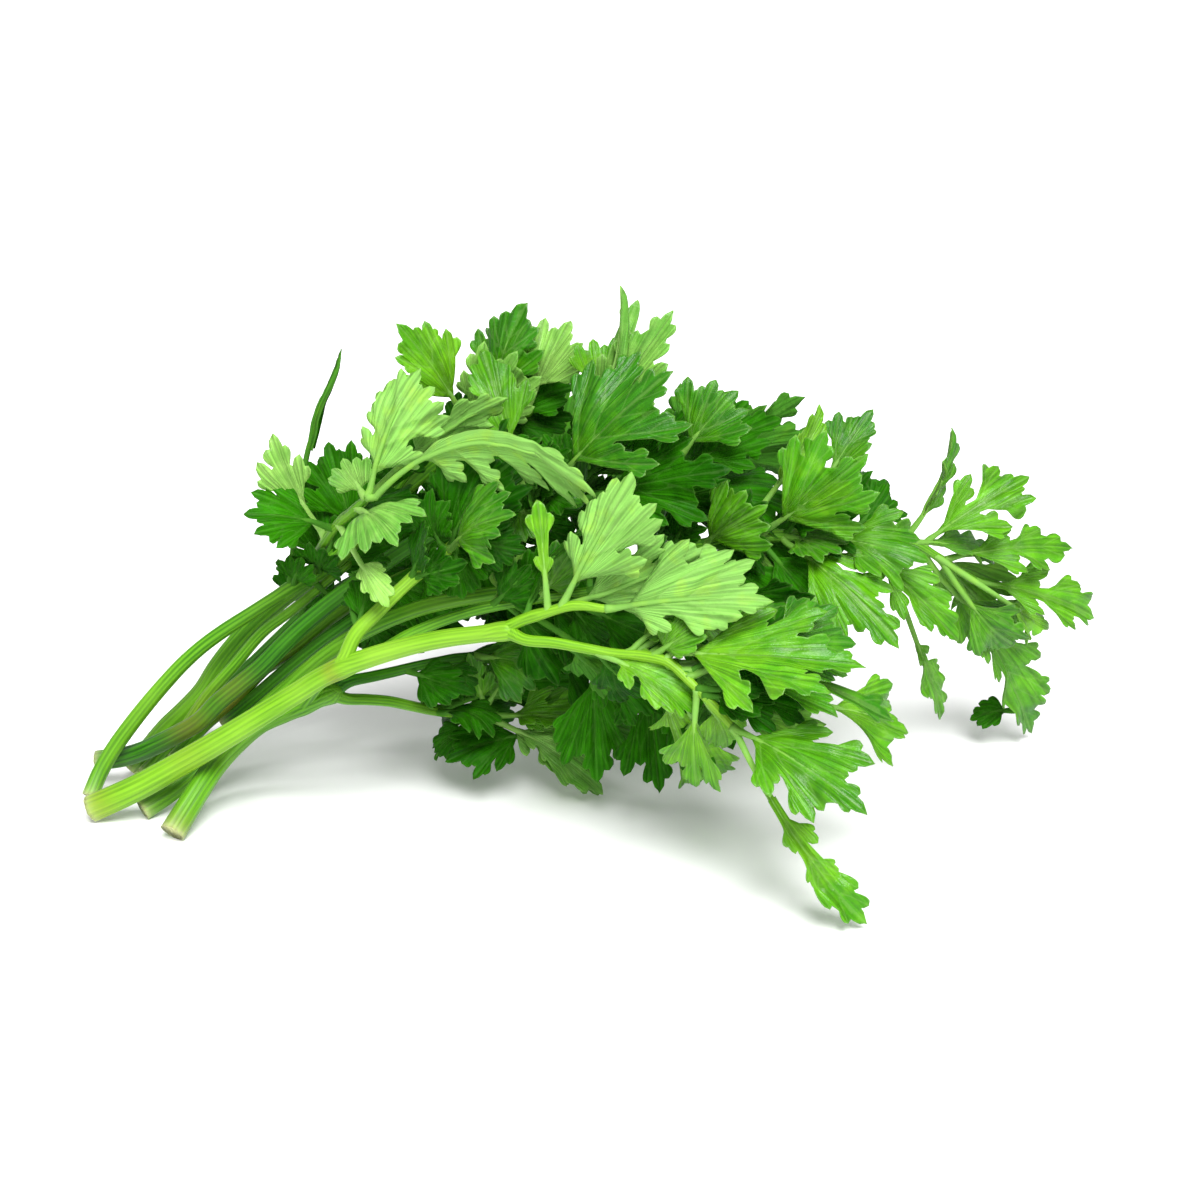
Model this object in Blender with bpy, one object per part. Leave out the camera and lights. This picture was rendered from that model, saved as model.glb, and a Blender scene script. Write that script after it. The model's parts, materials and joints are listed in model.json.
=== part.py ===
"""A bunch of flat-leaf parsley that lies on a table: stalks, branches and leaves, each its own solid.

All working lengths are in millimetres and are turned to metres where a mesh or curve is made.
+X runs along the bunch from the cut ends to the leaf tips, +Z is up and -Y is the front.
"""

import math
from dataclasses import dataclass

import bpy
from mathutils import Matrix, Vector
from mathutils.bvhtree import BVHTree

# ---------------------------------------------------------------- driving dimensions, in millimetres

MM = 0.001
BLADE_THICKNESS = 0.7
PETIOLE_HALF_WIDTH = 0.9
TIP_HALF_WIDTH = 0.6
CLEARANCE = 0.4
TUBE_SPACING = 7.0
TUBE_BEVEL_RESOLUTION = 2

# A blade is a grid: rows along the midrib, columns across it. The two powers shape its half-width:
# it is widest at RISE_POWER / (RISE_POWER + FALL_POWER) of its length.
BLADE_ROWS = 7
BLADE_COLUMNS = (-1.0, -0.5, 0.0, 0.5, 1.0)
RISE_POWER, FALL_POWER = 0.75, 0.5

# Directions that a leaf's upper face can look in.
FRONT = Vector((0.0, -0.92, 0.38))
BACK = -FRONT
UP = Vector((0.0, 0.0, 1.0))
LEFT = Vector((-1.0, 0.0, 0.0))
RIGHT = -LEFT


# ---------------------------------------------------------------- the stalks and their branches

@dataclass
class Stem:
    """A round, tapered, unbranched stem through the given points."""

    name: str
    start_radius: float
    end_radius: float
    colour: tuple
    route: tuple


PALE_STALK = (0.42, 0.56, 0.10)
GREEN_STALK = (0.16, 0.40, 0.04)
DARK_STALK = (0.07, 0.25, 0.03)

STEMS = (
    Stem("front_stalk", 3.2, 1.9, PALE_STALK, (
        (-120, -9, 4), (-107, -11, 11), (-87, -14, 24), (-69, -18, 37),
        (-57, -22, 45.5), (-37, -28, 54), (-18, -34, 59))),
    Stem("low_stalk", 3.0, 2.2, GREEN_STALK, (
        (-99, -21, 3), (-93, -12, 11), (-90, -6, 14), (-86, -4, 18), (-79, -4, 24),
        (-71, -5, 28), (-61, -9, 34))),
    Stem("left_stalk", 2.0, 1.5, GREEN_STALK, (
        (-122, 0, 3), (-118, 5, 11), (-109, 8, 23), (-98, 10, 35), (-89, 11, 42),
        (-81, 12, 47), (-73, 13, 52), (-60, 14, 60), (-49, 16, 74), (-39, 18, 88))),
    Stem("cross_stalk", 2.4, 1.8, DARK_STALK, (
        (-122, 13, 7), (-117, 12, 8), (-109, 8, 12), (-95, 1, 22), (-89, 1, 28),
        (-79, 3, 36), (-70, 4, 45), (-59, 5, 54), (-41, 5, 67), (-22, 3, 77), (-3, 0, 79))),
    Stem("twin_stalk", 2.6, 1.7, GREEN_STALK, (
        (-114, 17, 3), (-105, 18, 14), (-97, 18, 22), (-91, 19, 31), (-84, 21, 39),
        (-76, 22, 46), (-63, 24, 56), (-43, 27, 75), (-28, 26, 87), (-15, 22, 95))),
    Stem("right_stalk", 2.4, 0.9, GREEN_STALK, (
        (-108, -8, 3), (-100, -3, 7), (-89, 5, 15), (-74, 4, 29), (-58, -1, 44),
        (-39, -4, 54), (-15, -2, 58), (11, -3, 65), (35, -4, 71), (62, 4, 69),
        (79, 16, 63), (87, 19, 57), (95, 23, 51))),
    Stem("back_stalk", 2.2, 1.6, DARK_STALK, (
        (-112, 24, 4), (-102, 27, 13), (-87, 32, 23), (-67, 38, 40), (-39, 44, 54),
        (-8, 46, 64), (22, 44, 70))),
    Stem("far_stalk", 2.0, 1.4, DARK_STALK, (
        (-112, 36, 3), (-96, 40, 12), (-76, 44, 24), (-45, 50, 35), (-9, 54, 42),
        (28, 52, 46), (53, 46, 40))),
    Stem("spray_upper_branch", 1.3, 0.9, PALE_STALK, (
        (-15, -35, 62), (-11, -37, 64), (-4, -39, 67), (4, -41, 67))),
    Stem("spray_lower_branch", 1.3, 0.8, PALE_STALK, (
        (-14, -37, 58), (-7, -39, 58), (6, -43, 57), (17, -47, 57), (24, -51, 52), (32, -54, 44))),
    Stem("node_branch", 1.7, 1.1, PALE_STALK, (
        (-54, -21, 53), (-48, -19, 59), (-40, -16, 66), (-31, -14, 73), (-24, -12, 80))),
    Stem("left_branch", 1.2, 0.9, GREEN_STALK, (
        (-66, 10, 60), (-63, 5, 67), (-59, -2, 74), (-55, -8, 79), (-51, -13, 84))),
    Stem("crown_branch", 1.5, 1.2, DARK_STALK, ((-2, 3, 82), (-1, 7, 88), (2, 10, 96))),
    Stem("upper_branch", 1.4, 1.1, DARK_STALK, ((14, -1, 69), (18, 0, 79), (21, 1, 89))),
    Stem("low_branch", 1.4, 1.1, GREEN_STALK, (
        (-58, -8, 32), (-48, 0, 28), (-37, 6, 23), (-25, 11, 20))),
    Stem("dark_branch", 1.4, 1.1, DARK_STALK, (
        (-57, -7, 36), (-47, 2, 35), (-37, 6, 36), (-28, 10, 36))),
)


# ---------------------------------------------------------------- the leaves

@dataclass
class Leaf:
    """One blade on its own petiole.

    stem and at say where the petiole starts: a stem's name and the part of its length, 1 being its end.
    tip is the point of the blade. face is the way its upper side looks.
    arch lifts the middle of the blade off the line from base to tip, as a part of that line's length.
    sweep bends it sideways in its own plane in the same way. fold raises both edges off the midrib, and
    twist turns the blade from base to tip; both are slopes.
    """

    name: str
    stem: str
    at: float
    tip: tuple
    face: Vector
    width: float
    petiole: float = 6.0
    arch: float = 0.08
    sweep: float = 0.0
    fold: float = 0.15
    twist: float = 0.0


LEAVES = (
    # The spray at the front, which the thick front stalk carries.
    Leaf("spray_leaf_hanging", "spray_lower_branch", 1.0, (62, -69, 2), FRONT + 0.7 * UP, 13,
         petiole=9, arch=0.05, sweep=0.06, fold=0.3),
    Leaf("spray_leaf_broad", "spray_lower_branch", 0.62, (61, -55, 58), FRONT + UP, 27,
         petiole=5, arch=0.10, sweep=0.05),
    Leaf("spray_leaf_right", "spray_upper_branch", 1.0, (41, -50, 73), BACK + 0.3 * UP, 26,
         petiole=3, arch=-0.08, fold=0.1),
    Leaf("spray_leaf_upright", "spray_upper_branch", 0.6, (11, -40, 98), BACK + 0.3 * RIGHT, 24,
         petiole=4, arch=-0.06, fold=0.2),
    Leaf("spray_leaf_low", "spray_lower_branch", 1.0, (61, -62, 32), FRONT + 0.6 * UP, 23,
         petiole=4, arch=0.08),
    Leaf("spray_leaf_far", "spray_lower_branch", 0.72, (70, -50, 46), FRONT + 0.4 * UP, 24,
         petiole=10, arch=0.10),
    Leaf("spray_leaf_behind", "spray_upper_branch", 0.4, (28, -36, 80), BACK + 0.5 * UP, 24,
         petiole=8, arch=-0.06),
    Leaf("spray_leaf_small", "spray_lower_branch", 0.82, (25, -49, 27), FRONT + 0.4 * LEFT, 16,
         petiole=5, fold=0.25),

    # The heart of the bunch, above the front stalk.
    Leaf("heart_leaf_tall", "left_branch", 1.0, (-38, -10, 114), BACK + 0.3 * RIGHT, 25,
         petiole=4, arch=-0.06, sweep=0.03),
    Leaf("heart_leaf_arched", "left_branch", 1.0, (4, -34, 93), BACK + 0.5 * UP, 25,
         petiole=13, arch=0.06, sweep=0.20, fold=0.1),
    Leaf("heart_leaf_fan", "left_branch", 0.92, (-43, -30, 78), FRONT + 0.6 * UP, 36,
         petiole=2, arch=0.12),
    Leaf("heart_leaf_narrow", "left_branch", 0.84, (-18, -12, 107), BACK + UP, 13,
         petiole=16, arch=0.10),
    Leaf("heart_leaf_low", "node_branch", 0.74, (-17, -32, 87), FRONT + 0.5 * UP, 18,
         petiole=4, arch=0.08),
    Leaf("heart_leaf_matte", "cross_stalk", 0.96, (19, -6, 113), FRONT + 0.5 * UP, 34,
         petiole=10, arch=0.06, twist=0.15),
    Leaf("heart_leaf_dark", "cross_stalk", 1.0, (33, -14, 91), FRONT + 0.4 * UP, 22,
         petiole=8, arch=0.06),

    # The crown on top.
    Leaf("crown_leaf_left", "twin_stalk", 0.89, (-45, 12, 119), FRONT + 0.3 * RIGHT, 18,
         petiole=12, arch=0.10),
    Leaf("crown_leaf_upright", "twin_stalk", 0.94, (-16, 22, 122), FRONT + 0.3 * LEFT, 17,
         petiole=6, fold=0.25),
    Leaf("crown_leaf_middle", "twin_stalk", 1.0, (-4, 22, 117), FRONT + 0.4 * UP, 16, petiole=4),
    Leaf("crown_leaf_bright", "crown_branch", 1.0, (7, 16, 115), FRONT + 0.3 * UP, 17, petiole=3),
    Leaf("crown_leaf_thin", "crown_branch", 0.6, (9, 12, 126), FRONT + RIGHT, 10,
         petiole=8, fold=0.3),

    # The leaves that hang out on the left.
    Leaf("left_leaf_edge", "left_stalk", 0.61, (-59, 9, 114), RIGHT + 0.2 * FRONT, 13,
         petiole=28, arch=-0.03, fold=0.35),
    Leaf("left_leaf_pale", "left_branch", 0.32, (-74, 2, 95), FRONT + 0.3 * LEFT, 19,
         petiole=8, arch=0.12),
    Leaf("left_leaf_bright", "left_branch", 0.48, (-80, -8, 79), FRONT + 0.6 * UP, 18,
         petiole=4, arch=0.10),

    # The leaves above and along the right stalk.
    Leaf("upper_leaf_near", "upper_branch", 1.0, (35, 4, 105), FRONT + 0.4 * UP, 22, petiole=3),
    Leaf("upper_leaf_far", "upper_branch", 0.88, (46, 8, 98), FRONT + 0.5 * UP, 17, petiole=5),
    Leaf("right_leaf_glowing", "right_stalk", 0.73, (64, -12, 95), FRONT + 0.3 * RIGHT, 28,
         petiole=6, arch=0.10),
    Leaf("right_leaf_middle", "right_stalk", 0.79, (80, -8, 66), FRONT + 0.7 * UP, 18,
         petiole=4, arch=0.10),
    Leaf("right_leaf_lower", "right_stalk", 0.75, (73, -18, 52), FRONT + 0.5 * UP, 20,
         petiole=6, arch=0.08),
    Leaf("right_leaf_long", "right_stalk", 0.83, (88, -2, 44), FRONT + 0.5 * UP, 14,
         petiole=8, arch=0.06, fold=0.25),

    # The open fan at the far right end.
    Leaf("end_leaf_thin", "right_stalk", 0.90, (88, 20, 91), RIGHT + 0.5 * FRONT, 10,
         petiole=5, fold=0.3),
    Leaf("end_leaf_upper", "right_stalk", 0.925, (108, 26, 77), FRONT + 0.4 * UP, 24,
         petiole=2, arch=0.08),
    Leaf("end_leaf_middle", "right_stalk", 0.96, (119, 30, 56), FRONT + 0.6 * UP, 20,
         petiole=2, arch=0.10),
    Leaf("end_leaf_outer", "right_stalk", 1.0, (128, 34, 36), FRONT + 0.6 * UP, 22,
         petiole=2, arch=0.08),
    Leaf("end_leaf_hanging", "right_stalk", 0.98, (113, 42, 2), FRONT + 0.4 * RIGHT, 22,
         petiole=12, arch=0.06, fold=0.25),

    # The low leaves that lie on the table under the bunch.
    Leaf("low_leaf_left", "low_branch", 1.0, (-38, 2, 11), FRONT + UP, 16, petiole=4, arch=0.10),
    Leaf("low_leaf_right", "low_branch", 1.0, (4, 5, 2), FRONT + UP, 12, petiole=5, arch=0.08),
    Leaf("low_leaf_dark", "low_branch", 1.0, (15, 12, 17), FRONT + 0.7 * UP, 17, petiole=6),
    Leaf("dark_leaf_upright", "dark_branch", 1.0, (-9, -4, 38), FRONT + 0.4 * UP, 18, petiole=3),

    # The back of the bunch.
    Leaf("back_leaf_high", "back_stalk", 0.80, (-20, 62, 98), BACK + 0.6 * UP, 26, petiole=6),
    Leaf("back_leaf_top", "back_stalk", 1.0, (36, 50, 92), BACK + 0.5 * UP, 29, petiole=6),
    Leaf("back_leaf_middle", "back_stalk", 1.0, (60, 66, 76), BACK + 0.7 * UP, 29, petiole=8),
    Leaf("back_leaf_left", "far_stalk", 0.55, (-34, 76, 60), BACK + 0.8 * UP, 24, petiole=8),
    Leaf("back_leaf_low", "far_stalk", 0.80, (18, 76, 14), BACK + 0.6 * UP, 24, petiole=8),
    Leaf("back_leaf_resting", "far_stalk", 1.0, (60, 74, 2), BACK + UP, 24,
         petiole=10, arch=0.14),
)

UPPER_GREEN = (0.10, 0.36, 0.03)
DEEP_GREEN = (0.04, 0.20, 0.02)
PALE_UNDERSIDE = (0.30, 0.50, 0.16)
DARK_GROUPS = ("low", "dark", "back")

# How far a leaf may be moved to clear its neighbours: its tip in depth and in height, and its turn
# about the line from base to tip. The smallest move that clears them is taken.
TIP_DEPTH_MOVES = (0, 2, -2, 4, -4, 6, -6, 9, -9, 12, -12, 16)
TIP_HEIGHT_MOVES = (0, 2, -2, 4, -4)
TURNS_DEG = (0, 10, -10, 20, -20, 32, -32, 45, -45)
DEPTH_COST, HEIGHT_COST, TURN_COST = 0.5, 1.0, 0.12
SHRINKS = (1.0, 0.85, 0.7, 0.55)


# ---------------------------------------------------------------- curves

def catmull_rom(before, start, end, after, t):
    """The point at t from 0 to 1 on the smooth curve between start and end."""
    return 0.5 * (
        2 * start
        + (end - before) * t
        + (2 * before - 5 * start + 4 * end - after) * t ** 2
        + (3 * start - before - 3 * end + after) * t ** 3
    )


def smooth_route(route, steps=24):
    """Closely spaced points on a smooth curve through a route's points."""
    points = [Vector(p) for p in route]
    padded = [2 * points[0] - points[1], *points, 2 * points[-1] - points[-2]]
    fine = []
    for before, start, end, after in zip(padded, padded[1:], padded[2:], padded[3:]):
        fine += [catmull_rom(before, start, end, after, i / steps) for i in range(steps)]
    return [*fine, points[-1]]


def along(fine, at):
    """The point, and the direction, at a part of the length of a finely sampled curve."""
    lengths = [(b - a).length for a, b in zip(fine, fine[1:])]
    left = at * sum(lengths)
    for a, b, length in zip(fine, fine[1:], lengths):
        if left <= length:
            return a.lerp(b, left / length), (b - a).normalized()
        left -= length
    return fine[-1].copy(), (fine[-1] - fine[-2]).normalized()


def length_of(fine):
    return sum((b - a).length for a, b in zip(fine, fine[1:]))


# ---------------------------------------------------------------- materials and objects

def plant_material(name, colour, roughness):
    """A plain, non-metallic finish of one colour."""
    material = bpy.data.materials.new(name)
    material.use_nodes = True
    shader = material.node_tree.nodes["Principled BSDF"]
    shader.inputs["Base Color"].default_value = (*colour, 1.0)
    shader.inputs["Roughness"].default_value = roughness
    shader.inputs["Metallic"].default_value = 0.0
    return material


def add_object(name, data, colour, roughness):
    data.materials.append(plant_material(name, colour, roughness))
    made = bpy.data.objects.new(name, data)
    bpy.context.scene.collection.objects.link(made)
    return made


def make_stem(stem):
    """A curve with a round bevel that tapers, closed at both ends."""
    fine = smooth_route(stem.route)
    count = max(3, round(length_of(fine) / TUBE_SPACING))
    curve = bpy.data.curves.new(stem.name, "CURVE")
    curve.dimensions = "3D"
    curve.bevel_depth = MM
    curve.bevel_resolution = TUBE_BEVEL_RESOLUTION
    curve.use_fill_caps = True
    spline = curve.splines.new("POLY")
    spline.points.add(count)
    for i, point in enumerate(spline.points):
        part = i / count
        place, _ = along(fine, part)
        point.co = (*(place * MM), 1.0)
        point.radius = stem.start_radius + part * (stem.end_radius - stem.start_radius)
    return add_object(stem.name, curve, stem.colour, 0.45)


# ---------------------------------------------------------------- leaf surfaces

def half_width(blade_part, most):
    """The half-width of a blade at a part of its length: a wedge that ends in a blunt point."""
    widest = RISE_POWER / (RISE_POWER + FALL_POWER)
    shape = blade_part ** RISE_POWER * (1 - blade_part) ** FALL_POWER
    peak = widest ** RISE_POWER * (1 - widest) ** FALL_POWER
    return max(most * shape / peak, TIP_HALF_WIDTH)


def leaf_rows(leaf, base, tip, width):
    """Each row of the leaf's grid: how far along the line from base to tip, and its half-width."""
    length = (tip - base).length
    petiole = min(leaf.petiole, 0.5 * length) / length
    rows = [(0.0, PETIOLE_HALF_WIDTH), (0.5 * petiole, PETIOLE_HALF_WIDTH), (petiole, PETIOLE_HALF_WIDTH)]
    for i in range(1, BLADE_ROWS + 1):
        part = i / BLADE_ROWS
        rows.append((petiole + part * (1 - petiole), half_width(part, 0.5 * width)))
    return rows


def leaf_grid(leaf, base, tip, turn, width, lift=0.0, margin=0.0):
    """The middle surface of a leaf as points, row by row. lift moves it along its upper side, and
    margin widens it, for the clearance test."""
    forward = (tip - base).normalized()
    length = (tip - base).length
    upward = (leaf.face - leaf.face.dot(forward) * forward).normalized()
    upward = Matrix.Rotation(math.radians(turn), 3, forward) @ upward
    across = forward.cross(upward)
    points = []
    for u, half in leaf_rows(leaf, base, tip, width):
        bow = 4 * u * (1 - u)
        centre = base + forward * u * length + across * leaf.sweep * length * bow
        for column in BLADE_COLUMNS:
            v = column * (half + margin)
            fold = leaf.fold * abs(v) * min(1.0, 3 * u)
            height = leaf.arch * length * bow + fold + leaf.twist * u * v + lift
            points.append(centre + across * v + upward * height)
    return points


def grid_faces(rows, columns, first=0):
    """Quads between neighbouring rows of a grid, wound so that they face its upper side."""
    faces = []
    for i in range(rows - 1):
        for j in range(columns - 1):
            a = first + i * columns + j
            faces.append((a, a + columns, a + columns + 1, a + 1))
    return faces


def leaf_base(leaf, tip, stems, fines):
    """Where the petiole starts: just off the surface of its stem, on the side that the tip is on."""
    stem, fine = stems[leaf.stem], fines[leaf.stem]
    centre, tangent = along(fine, leaf.at)
    radius = stem.start_radius + leaf.at * (stem.end_radius - stem.start_radius)
    toward = (tip - centre).normalized()
    if leaf.at < 1:
        toward = (toward - toward.dot(tangent) * tangent).normalized()
    return centre + toward * (radius + PETIOLE_HALF_WIDTH + CLEARANCE)


def clears(leaf, base, tip, turn, width, taken):
    """Whether a leaf, made thicker and wider by the clearance, meets none of the pieces in place."""
    reach = 0.5 * BLADE_THICKNESS + CLEARANCE
    points, faces = [], []
    columns = len(BLADE_COLUMNS)
    for lift in (-reach, 0.0, reach):
        layer = leaf_grid(leaf, base, tip, turn, width, lift, CLEARANCE)
        faces += grid_faces(len(layer) // columns, columns, len(points))
        points += layer
    lowest = min(p.z for p in points)
    return lowest > 0 and not BVHTree.FromPolygons(points, faces).overlap(taken)


def possible_moves():
    """Every (depth, height, turn) that a leaf may be moved by, the smallest first."""
    moves = [
        (DEPTH_COST * abs(depth) + HEIGHT_COST * abs(height) + TURN_COST * abs(turn), depth, height, turn)
        for depth in TIP_DEPTH_MOVES
        for height in TIP_HEIGHT_MOVES
        for turn in TURNS_DEG
    ]
    return [move[1:] for move in sorted(moves)]


def place_leaf(leaf, stems, fines, taken, moves):
    """The base, tip, turn and width of a leaf that clears every piece in place."""
    for shrink in SHRINKS:
        for depth, height, turn in moves:
            tip = Vector(leaf.tip) + Vector((0, depth, height))
            base = leaf_base(leaf, tip, stems, fines)
            if clears(leaf, base, tip, turn, leaf.width * shrink, taken):
                if depth or height or turn or shrink < 1:
                    print(f"{leaf.name}: depth {depth}, height {height}, turn {turn}, width x{shrink}")
                return base, tip, turn, leaf.width * shrink
    raise ValueError(f"{leaf.name} has no free place")


def leaf_colour(leaf):
    if leaf.name.split("_")[0] in DARK_GROUPS:
        return DEEP_GREEN
    return PALE_UNDERSIDE if leaf.face.y > 0 else UPPER_GREEN


def make_leaf(leaf, base, tip, turn, width):
    """The leaf's middle surface, made solid to the blade's thickness."""
    points = leaf_grid(leaf, base, tip, turn, width)
    columns = len(BLADE_COLUMNS)
    mesh = bpy.data.meshes.new(leaf.name)
    mesh.from_pydata([p * MM for p in points], [], grid_faces(len(points) // columns, columns))
    made = add_object(leaf.name, mesh, leaf_colour(leaf), 0.5)
    solid = made.modifiers.new("blade_thickness", "SOLIDIFY")
    solid.thickness = BLADE_THICKNESS * MM
    solid.offset = 0.0
    return made


# ---------------------------------------------------------------- the bunch

def shell_of(made):
    """An object's finished surface in millimetres, as (points, faces)."""
    graph = bpy.context.evaluated_depsgraph_get()
    evaluated = made.evaluated_get(graph)
    mesh = evaluated.to_mesh()
    points = [v.co / MM for v in mesh.vertices]
    faces = [tuple(p.vertices) for p in mesh.polygons]
    evaluated.to_mesh_clear()
    return points, faces


def build_bunch():
    """Makes every stem, then each leaf in a place that is still free."""
    objects, points, faces = [], [], []

    def keep(made):
        more_points, more_faces = shell_of(made)
        faces.extend(tuple(len(points) + k for k in face) for face in more_faces)
        points.extend(more_points)
        objects.append(made)

    for stem in STEMS:
        keep(make_stem(stem))
    stems = {stem.name: stem for stem in STEMS}
    fines = {stem.name: smooth_route(stem.route) for stem in STEMS}
    moves = possible_moves()
    for leaf in LEAVES:
        taken = BVHTree.FromPolygons(points, faces)
        keep(make_leaf(leaf, *place_leaf(leaf, stems, fines, taken, moves)))
    return objects, points


def stand_on_origin(objects, points):
    """Moves the whole bunch so that the origin is at the bottom centre of its box."""
    low = Vector(min(p[k] for p in points) for k in range(3))
    high = Vector(max(p[k] for p in points) for k in range(3))
    middle = 0.5 * (low + high)
    shift = -Vector((middle.x, middle.y, low.z)) * MM
    for made in objects:
        made.location = shift
    print("box", [round(side, 1) for side in high - low], "shift", [round(s, 2) for s in shift / MM])


for old in list(bpy.data.objects):
    bpy.data.objects.remove(old, do_unlink=True)
stand_on_origin(*build_bunch())
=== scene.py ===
# %% [markdown]
# # A bunch of flat-leaf parsley
# The bunch lies on a pale table: ridged stalks at one end, lobed and toothed leaves at the other.
# The plain model gives every stalk and every leaf its place, length and bend. This lesson grows the
# real surface on it: ribs and cut ends on the stalks, and lobes, teeth, veins and puckers on the blades.

import json
import math
import random
import zlib
from collections import Counter
from functools import partial

import bpy
import numpy as np
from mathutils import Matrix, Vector, noise
from mathutils.bvhtree import BVHTree
from mathutils.geometry import delaunay_2d_cdt

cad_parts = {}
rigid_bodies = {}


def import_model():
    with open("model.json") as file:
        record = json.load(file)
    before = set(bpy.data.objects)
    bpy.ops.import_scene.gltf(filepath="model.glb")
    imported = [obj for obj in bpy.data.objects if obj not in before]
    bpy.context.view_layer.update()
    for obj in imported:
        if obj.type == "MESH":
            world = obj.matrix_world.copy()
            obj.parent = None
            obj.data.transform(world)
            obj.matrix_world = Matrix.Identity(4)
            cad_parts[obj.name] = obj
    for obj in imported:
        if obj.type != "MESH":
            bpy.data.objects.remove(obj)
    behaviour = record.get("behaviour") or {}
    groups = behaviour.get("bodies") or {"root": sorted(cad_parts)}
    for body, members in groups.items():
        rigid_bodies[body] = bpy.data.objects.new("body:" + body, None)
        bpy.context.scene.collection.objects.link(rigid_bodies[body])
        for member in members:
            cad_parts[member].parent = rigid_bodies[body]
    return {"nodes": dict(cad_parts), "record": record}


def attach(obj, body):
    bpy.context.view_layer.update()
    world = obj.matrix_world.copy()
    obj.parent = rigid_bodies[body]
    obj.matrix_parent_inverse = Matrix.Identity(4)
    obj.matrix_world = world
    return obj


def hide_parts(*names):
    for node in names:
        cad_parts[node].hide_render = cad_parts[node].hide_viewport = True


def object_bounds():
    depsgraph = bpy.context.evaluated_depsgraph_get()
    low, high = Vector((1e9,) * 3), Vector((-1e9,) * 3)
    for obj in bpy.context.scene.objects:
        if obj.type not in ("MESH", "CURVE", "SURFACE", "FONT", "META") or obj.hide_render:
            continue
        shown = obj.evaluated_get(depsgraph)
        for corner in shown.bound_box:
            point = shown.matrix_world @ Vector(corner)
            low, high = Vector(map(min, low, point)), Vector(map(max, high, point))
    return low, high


for old in list(bpy.data.objects):
    bpy.data.objects.remove(old, do_unlink=True)
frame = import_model()
MM = 0.001
cad_low, cad_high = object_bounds()
cad_size = cad_high - cad_low
print("the plain model measures", [round(side / MM) for side in cad_size], "mm")

# %% [markdown]
# ## Table, camera and light
# A food stylist sets cut herbs on a white table that runs far back, under broad soft lamps, so
# that the only shade is a soft one under the leaves. A long lens from a little above keeps the near
# and the far leaves close to the same size.

# %% Table
TABLE_SIDE_M = 12.0


def in_scene(made):
    """Puts an object in the scene and gives it back."""
    bpy.context.scene.collection.objects.link(made)
    return made


def table_top(side):
    """A flat square with sides this long, centred under the bunch."""
    half = 0.5 * side
    mesh = bpy.data.meshes.new("table_top")
    corners = [(-half, -half, 0), (half, -half, 0), (half, half, 0), (-half, half, 0)]
    mesh.from_pydata(corners, [], [(0, 1, 2, 3)])
    return in_scene(bpy.data.objects.new("table_top", mesh))


table = table_top(TABLE_SIDE_M)
print("the table top is", TABLE_SIDE_M, "m wide")

# %% Camera
CAMERA_DOWN_DEG = 20.0
CAMERA_DISTANCE = 2.68 * cad_size.x
AIM_SIDE = 0.002 * cad_size.x
AIM_HEIGHT = 0.42 * cad_size.z

down = math.radians(CAMERA_DOWN_DEG)
aim = Vector((AIM_SIDE, 0.0, AIM_HEIGHT))
camera = in_scene(bpy.data.objects.new("camera", bpy.data.cameras.new("camera")))
camera.data.lens = 85.0
camera.data.sensor_width = 36.0
camera.data.clip_start = 0.01
camera.location = aim + CAMERA_DISTANCE * Vector((0.0, -math.cos(down), math.sin(down)))
camera.rotation_euler = (math.radians(90.0) - down, 0.0, 0.0)
bpy.context.scene.camera = camera
print("the camera stands", round(CAMERA_DISTANCE, 3), "m away")

# %% Lamps and sky
SUN_STRENGTH = 5.3
SUN_TILT_DEG = 38.0
SUN_TURN_DEG = 12.0
SUN_SOFTNESS_DEG = 32.0
SKY_STRENGTH = 0.62

key_light = bpy.data.lights.new("overhead_softbox", "SUN")
key_light.energy = SUN_STRENGTH
key_light.angle = math.radians(SUN_SOFTNESS_DEG)
softbox = in_scene(bpy.data.objects.new("overhead_softbox", key_light))
softbox.rotation_euler = (math.radians(SUN_TILT_DEG), 0.0, math.radians(SUN_TURN_DEG))

sky = bpy.data.worlds.new("white_studio")
sky.use_nodes = True
sky.node_tree.nodes["Background"].inputs["Color"].default_value = (1.0, 1.0, 1.0, 1.0)
sky.node_tree.nodes["Background"].inputs["Strength"].default_value = SKY_STRENGTH
bpy.context.scene.world = sky
bpy.context.scene.view_settings.view_transform = "Standard"
print("the sun tilts", SUN_TILT_DEG, "degrees and turns", SUN_TURN_DEG)

# %% [markdown]
# ## Materials
# Every colour below is written as the sRGB hex value that an eye would match it to, and one function
# turns it to the linear numbers that a renderer adds up. One small function adds a shader node with its
# settings and its links, so that each material reads as a short recipe.

# %% Colour and node helpers
def linear(hex_colour):
    """An sRGB hex colour as linear red, green, blue and alpha."""
    channels = [int(hex_colour[i:i + 2], 16) / 255 for i in (1, 3, 5)]
    return (*(c / 12.92 if c <= 0.04045 else ((c + 0.055) / 1.055) ** 2.4 for c in channels), 1.0)


print("a mid grey, #808080, is", round(linear("#808080")[0], 3), "in linear light")


def add_node(tree, kind, settings):
    """Adds one node. A setting is a property of the node or an input, by name or number. An input takes
    a value, a socket, or a node, which then feeds it from its first output in use."""
    made = tree.nodes.new("ShaderNode" + kind)
    for name, value in settings.items():
        if isinstance(value, bpy.types.Node):
            value = next(socket for socket in value.outputs if socket.enabled)
        if isinstance(value, bpy.types.NodeSocket):
            tree.links.new(value, made.inputs[name])
        elif isinstance(name, str) and hasattr(made, name):
            setattr(made, name, value)
        else:
            made.inputs[name].default_value = value
    return made


def new_material(name):
    """An empty node material, and add_node for its tree."""
    material = bpy.data.materials.new(name)
    material.use_nodes = True
    material.node_tree.nodes.clear()
    return material, partial(add_node, material.node_tree)

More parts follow.
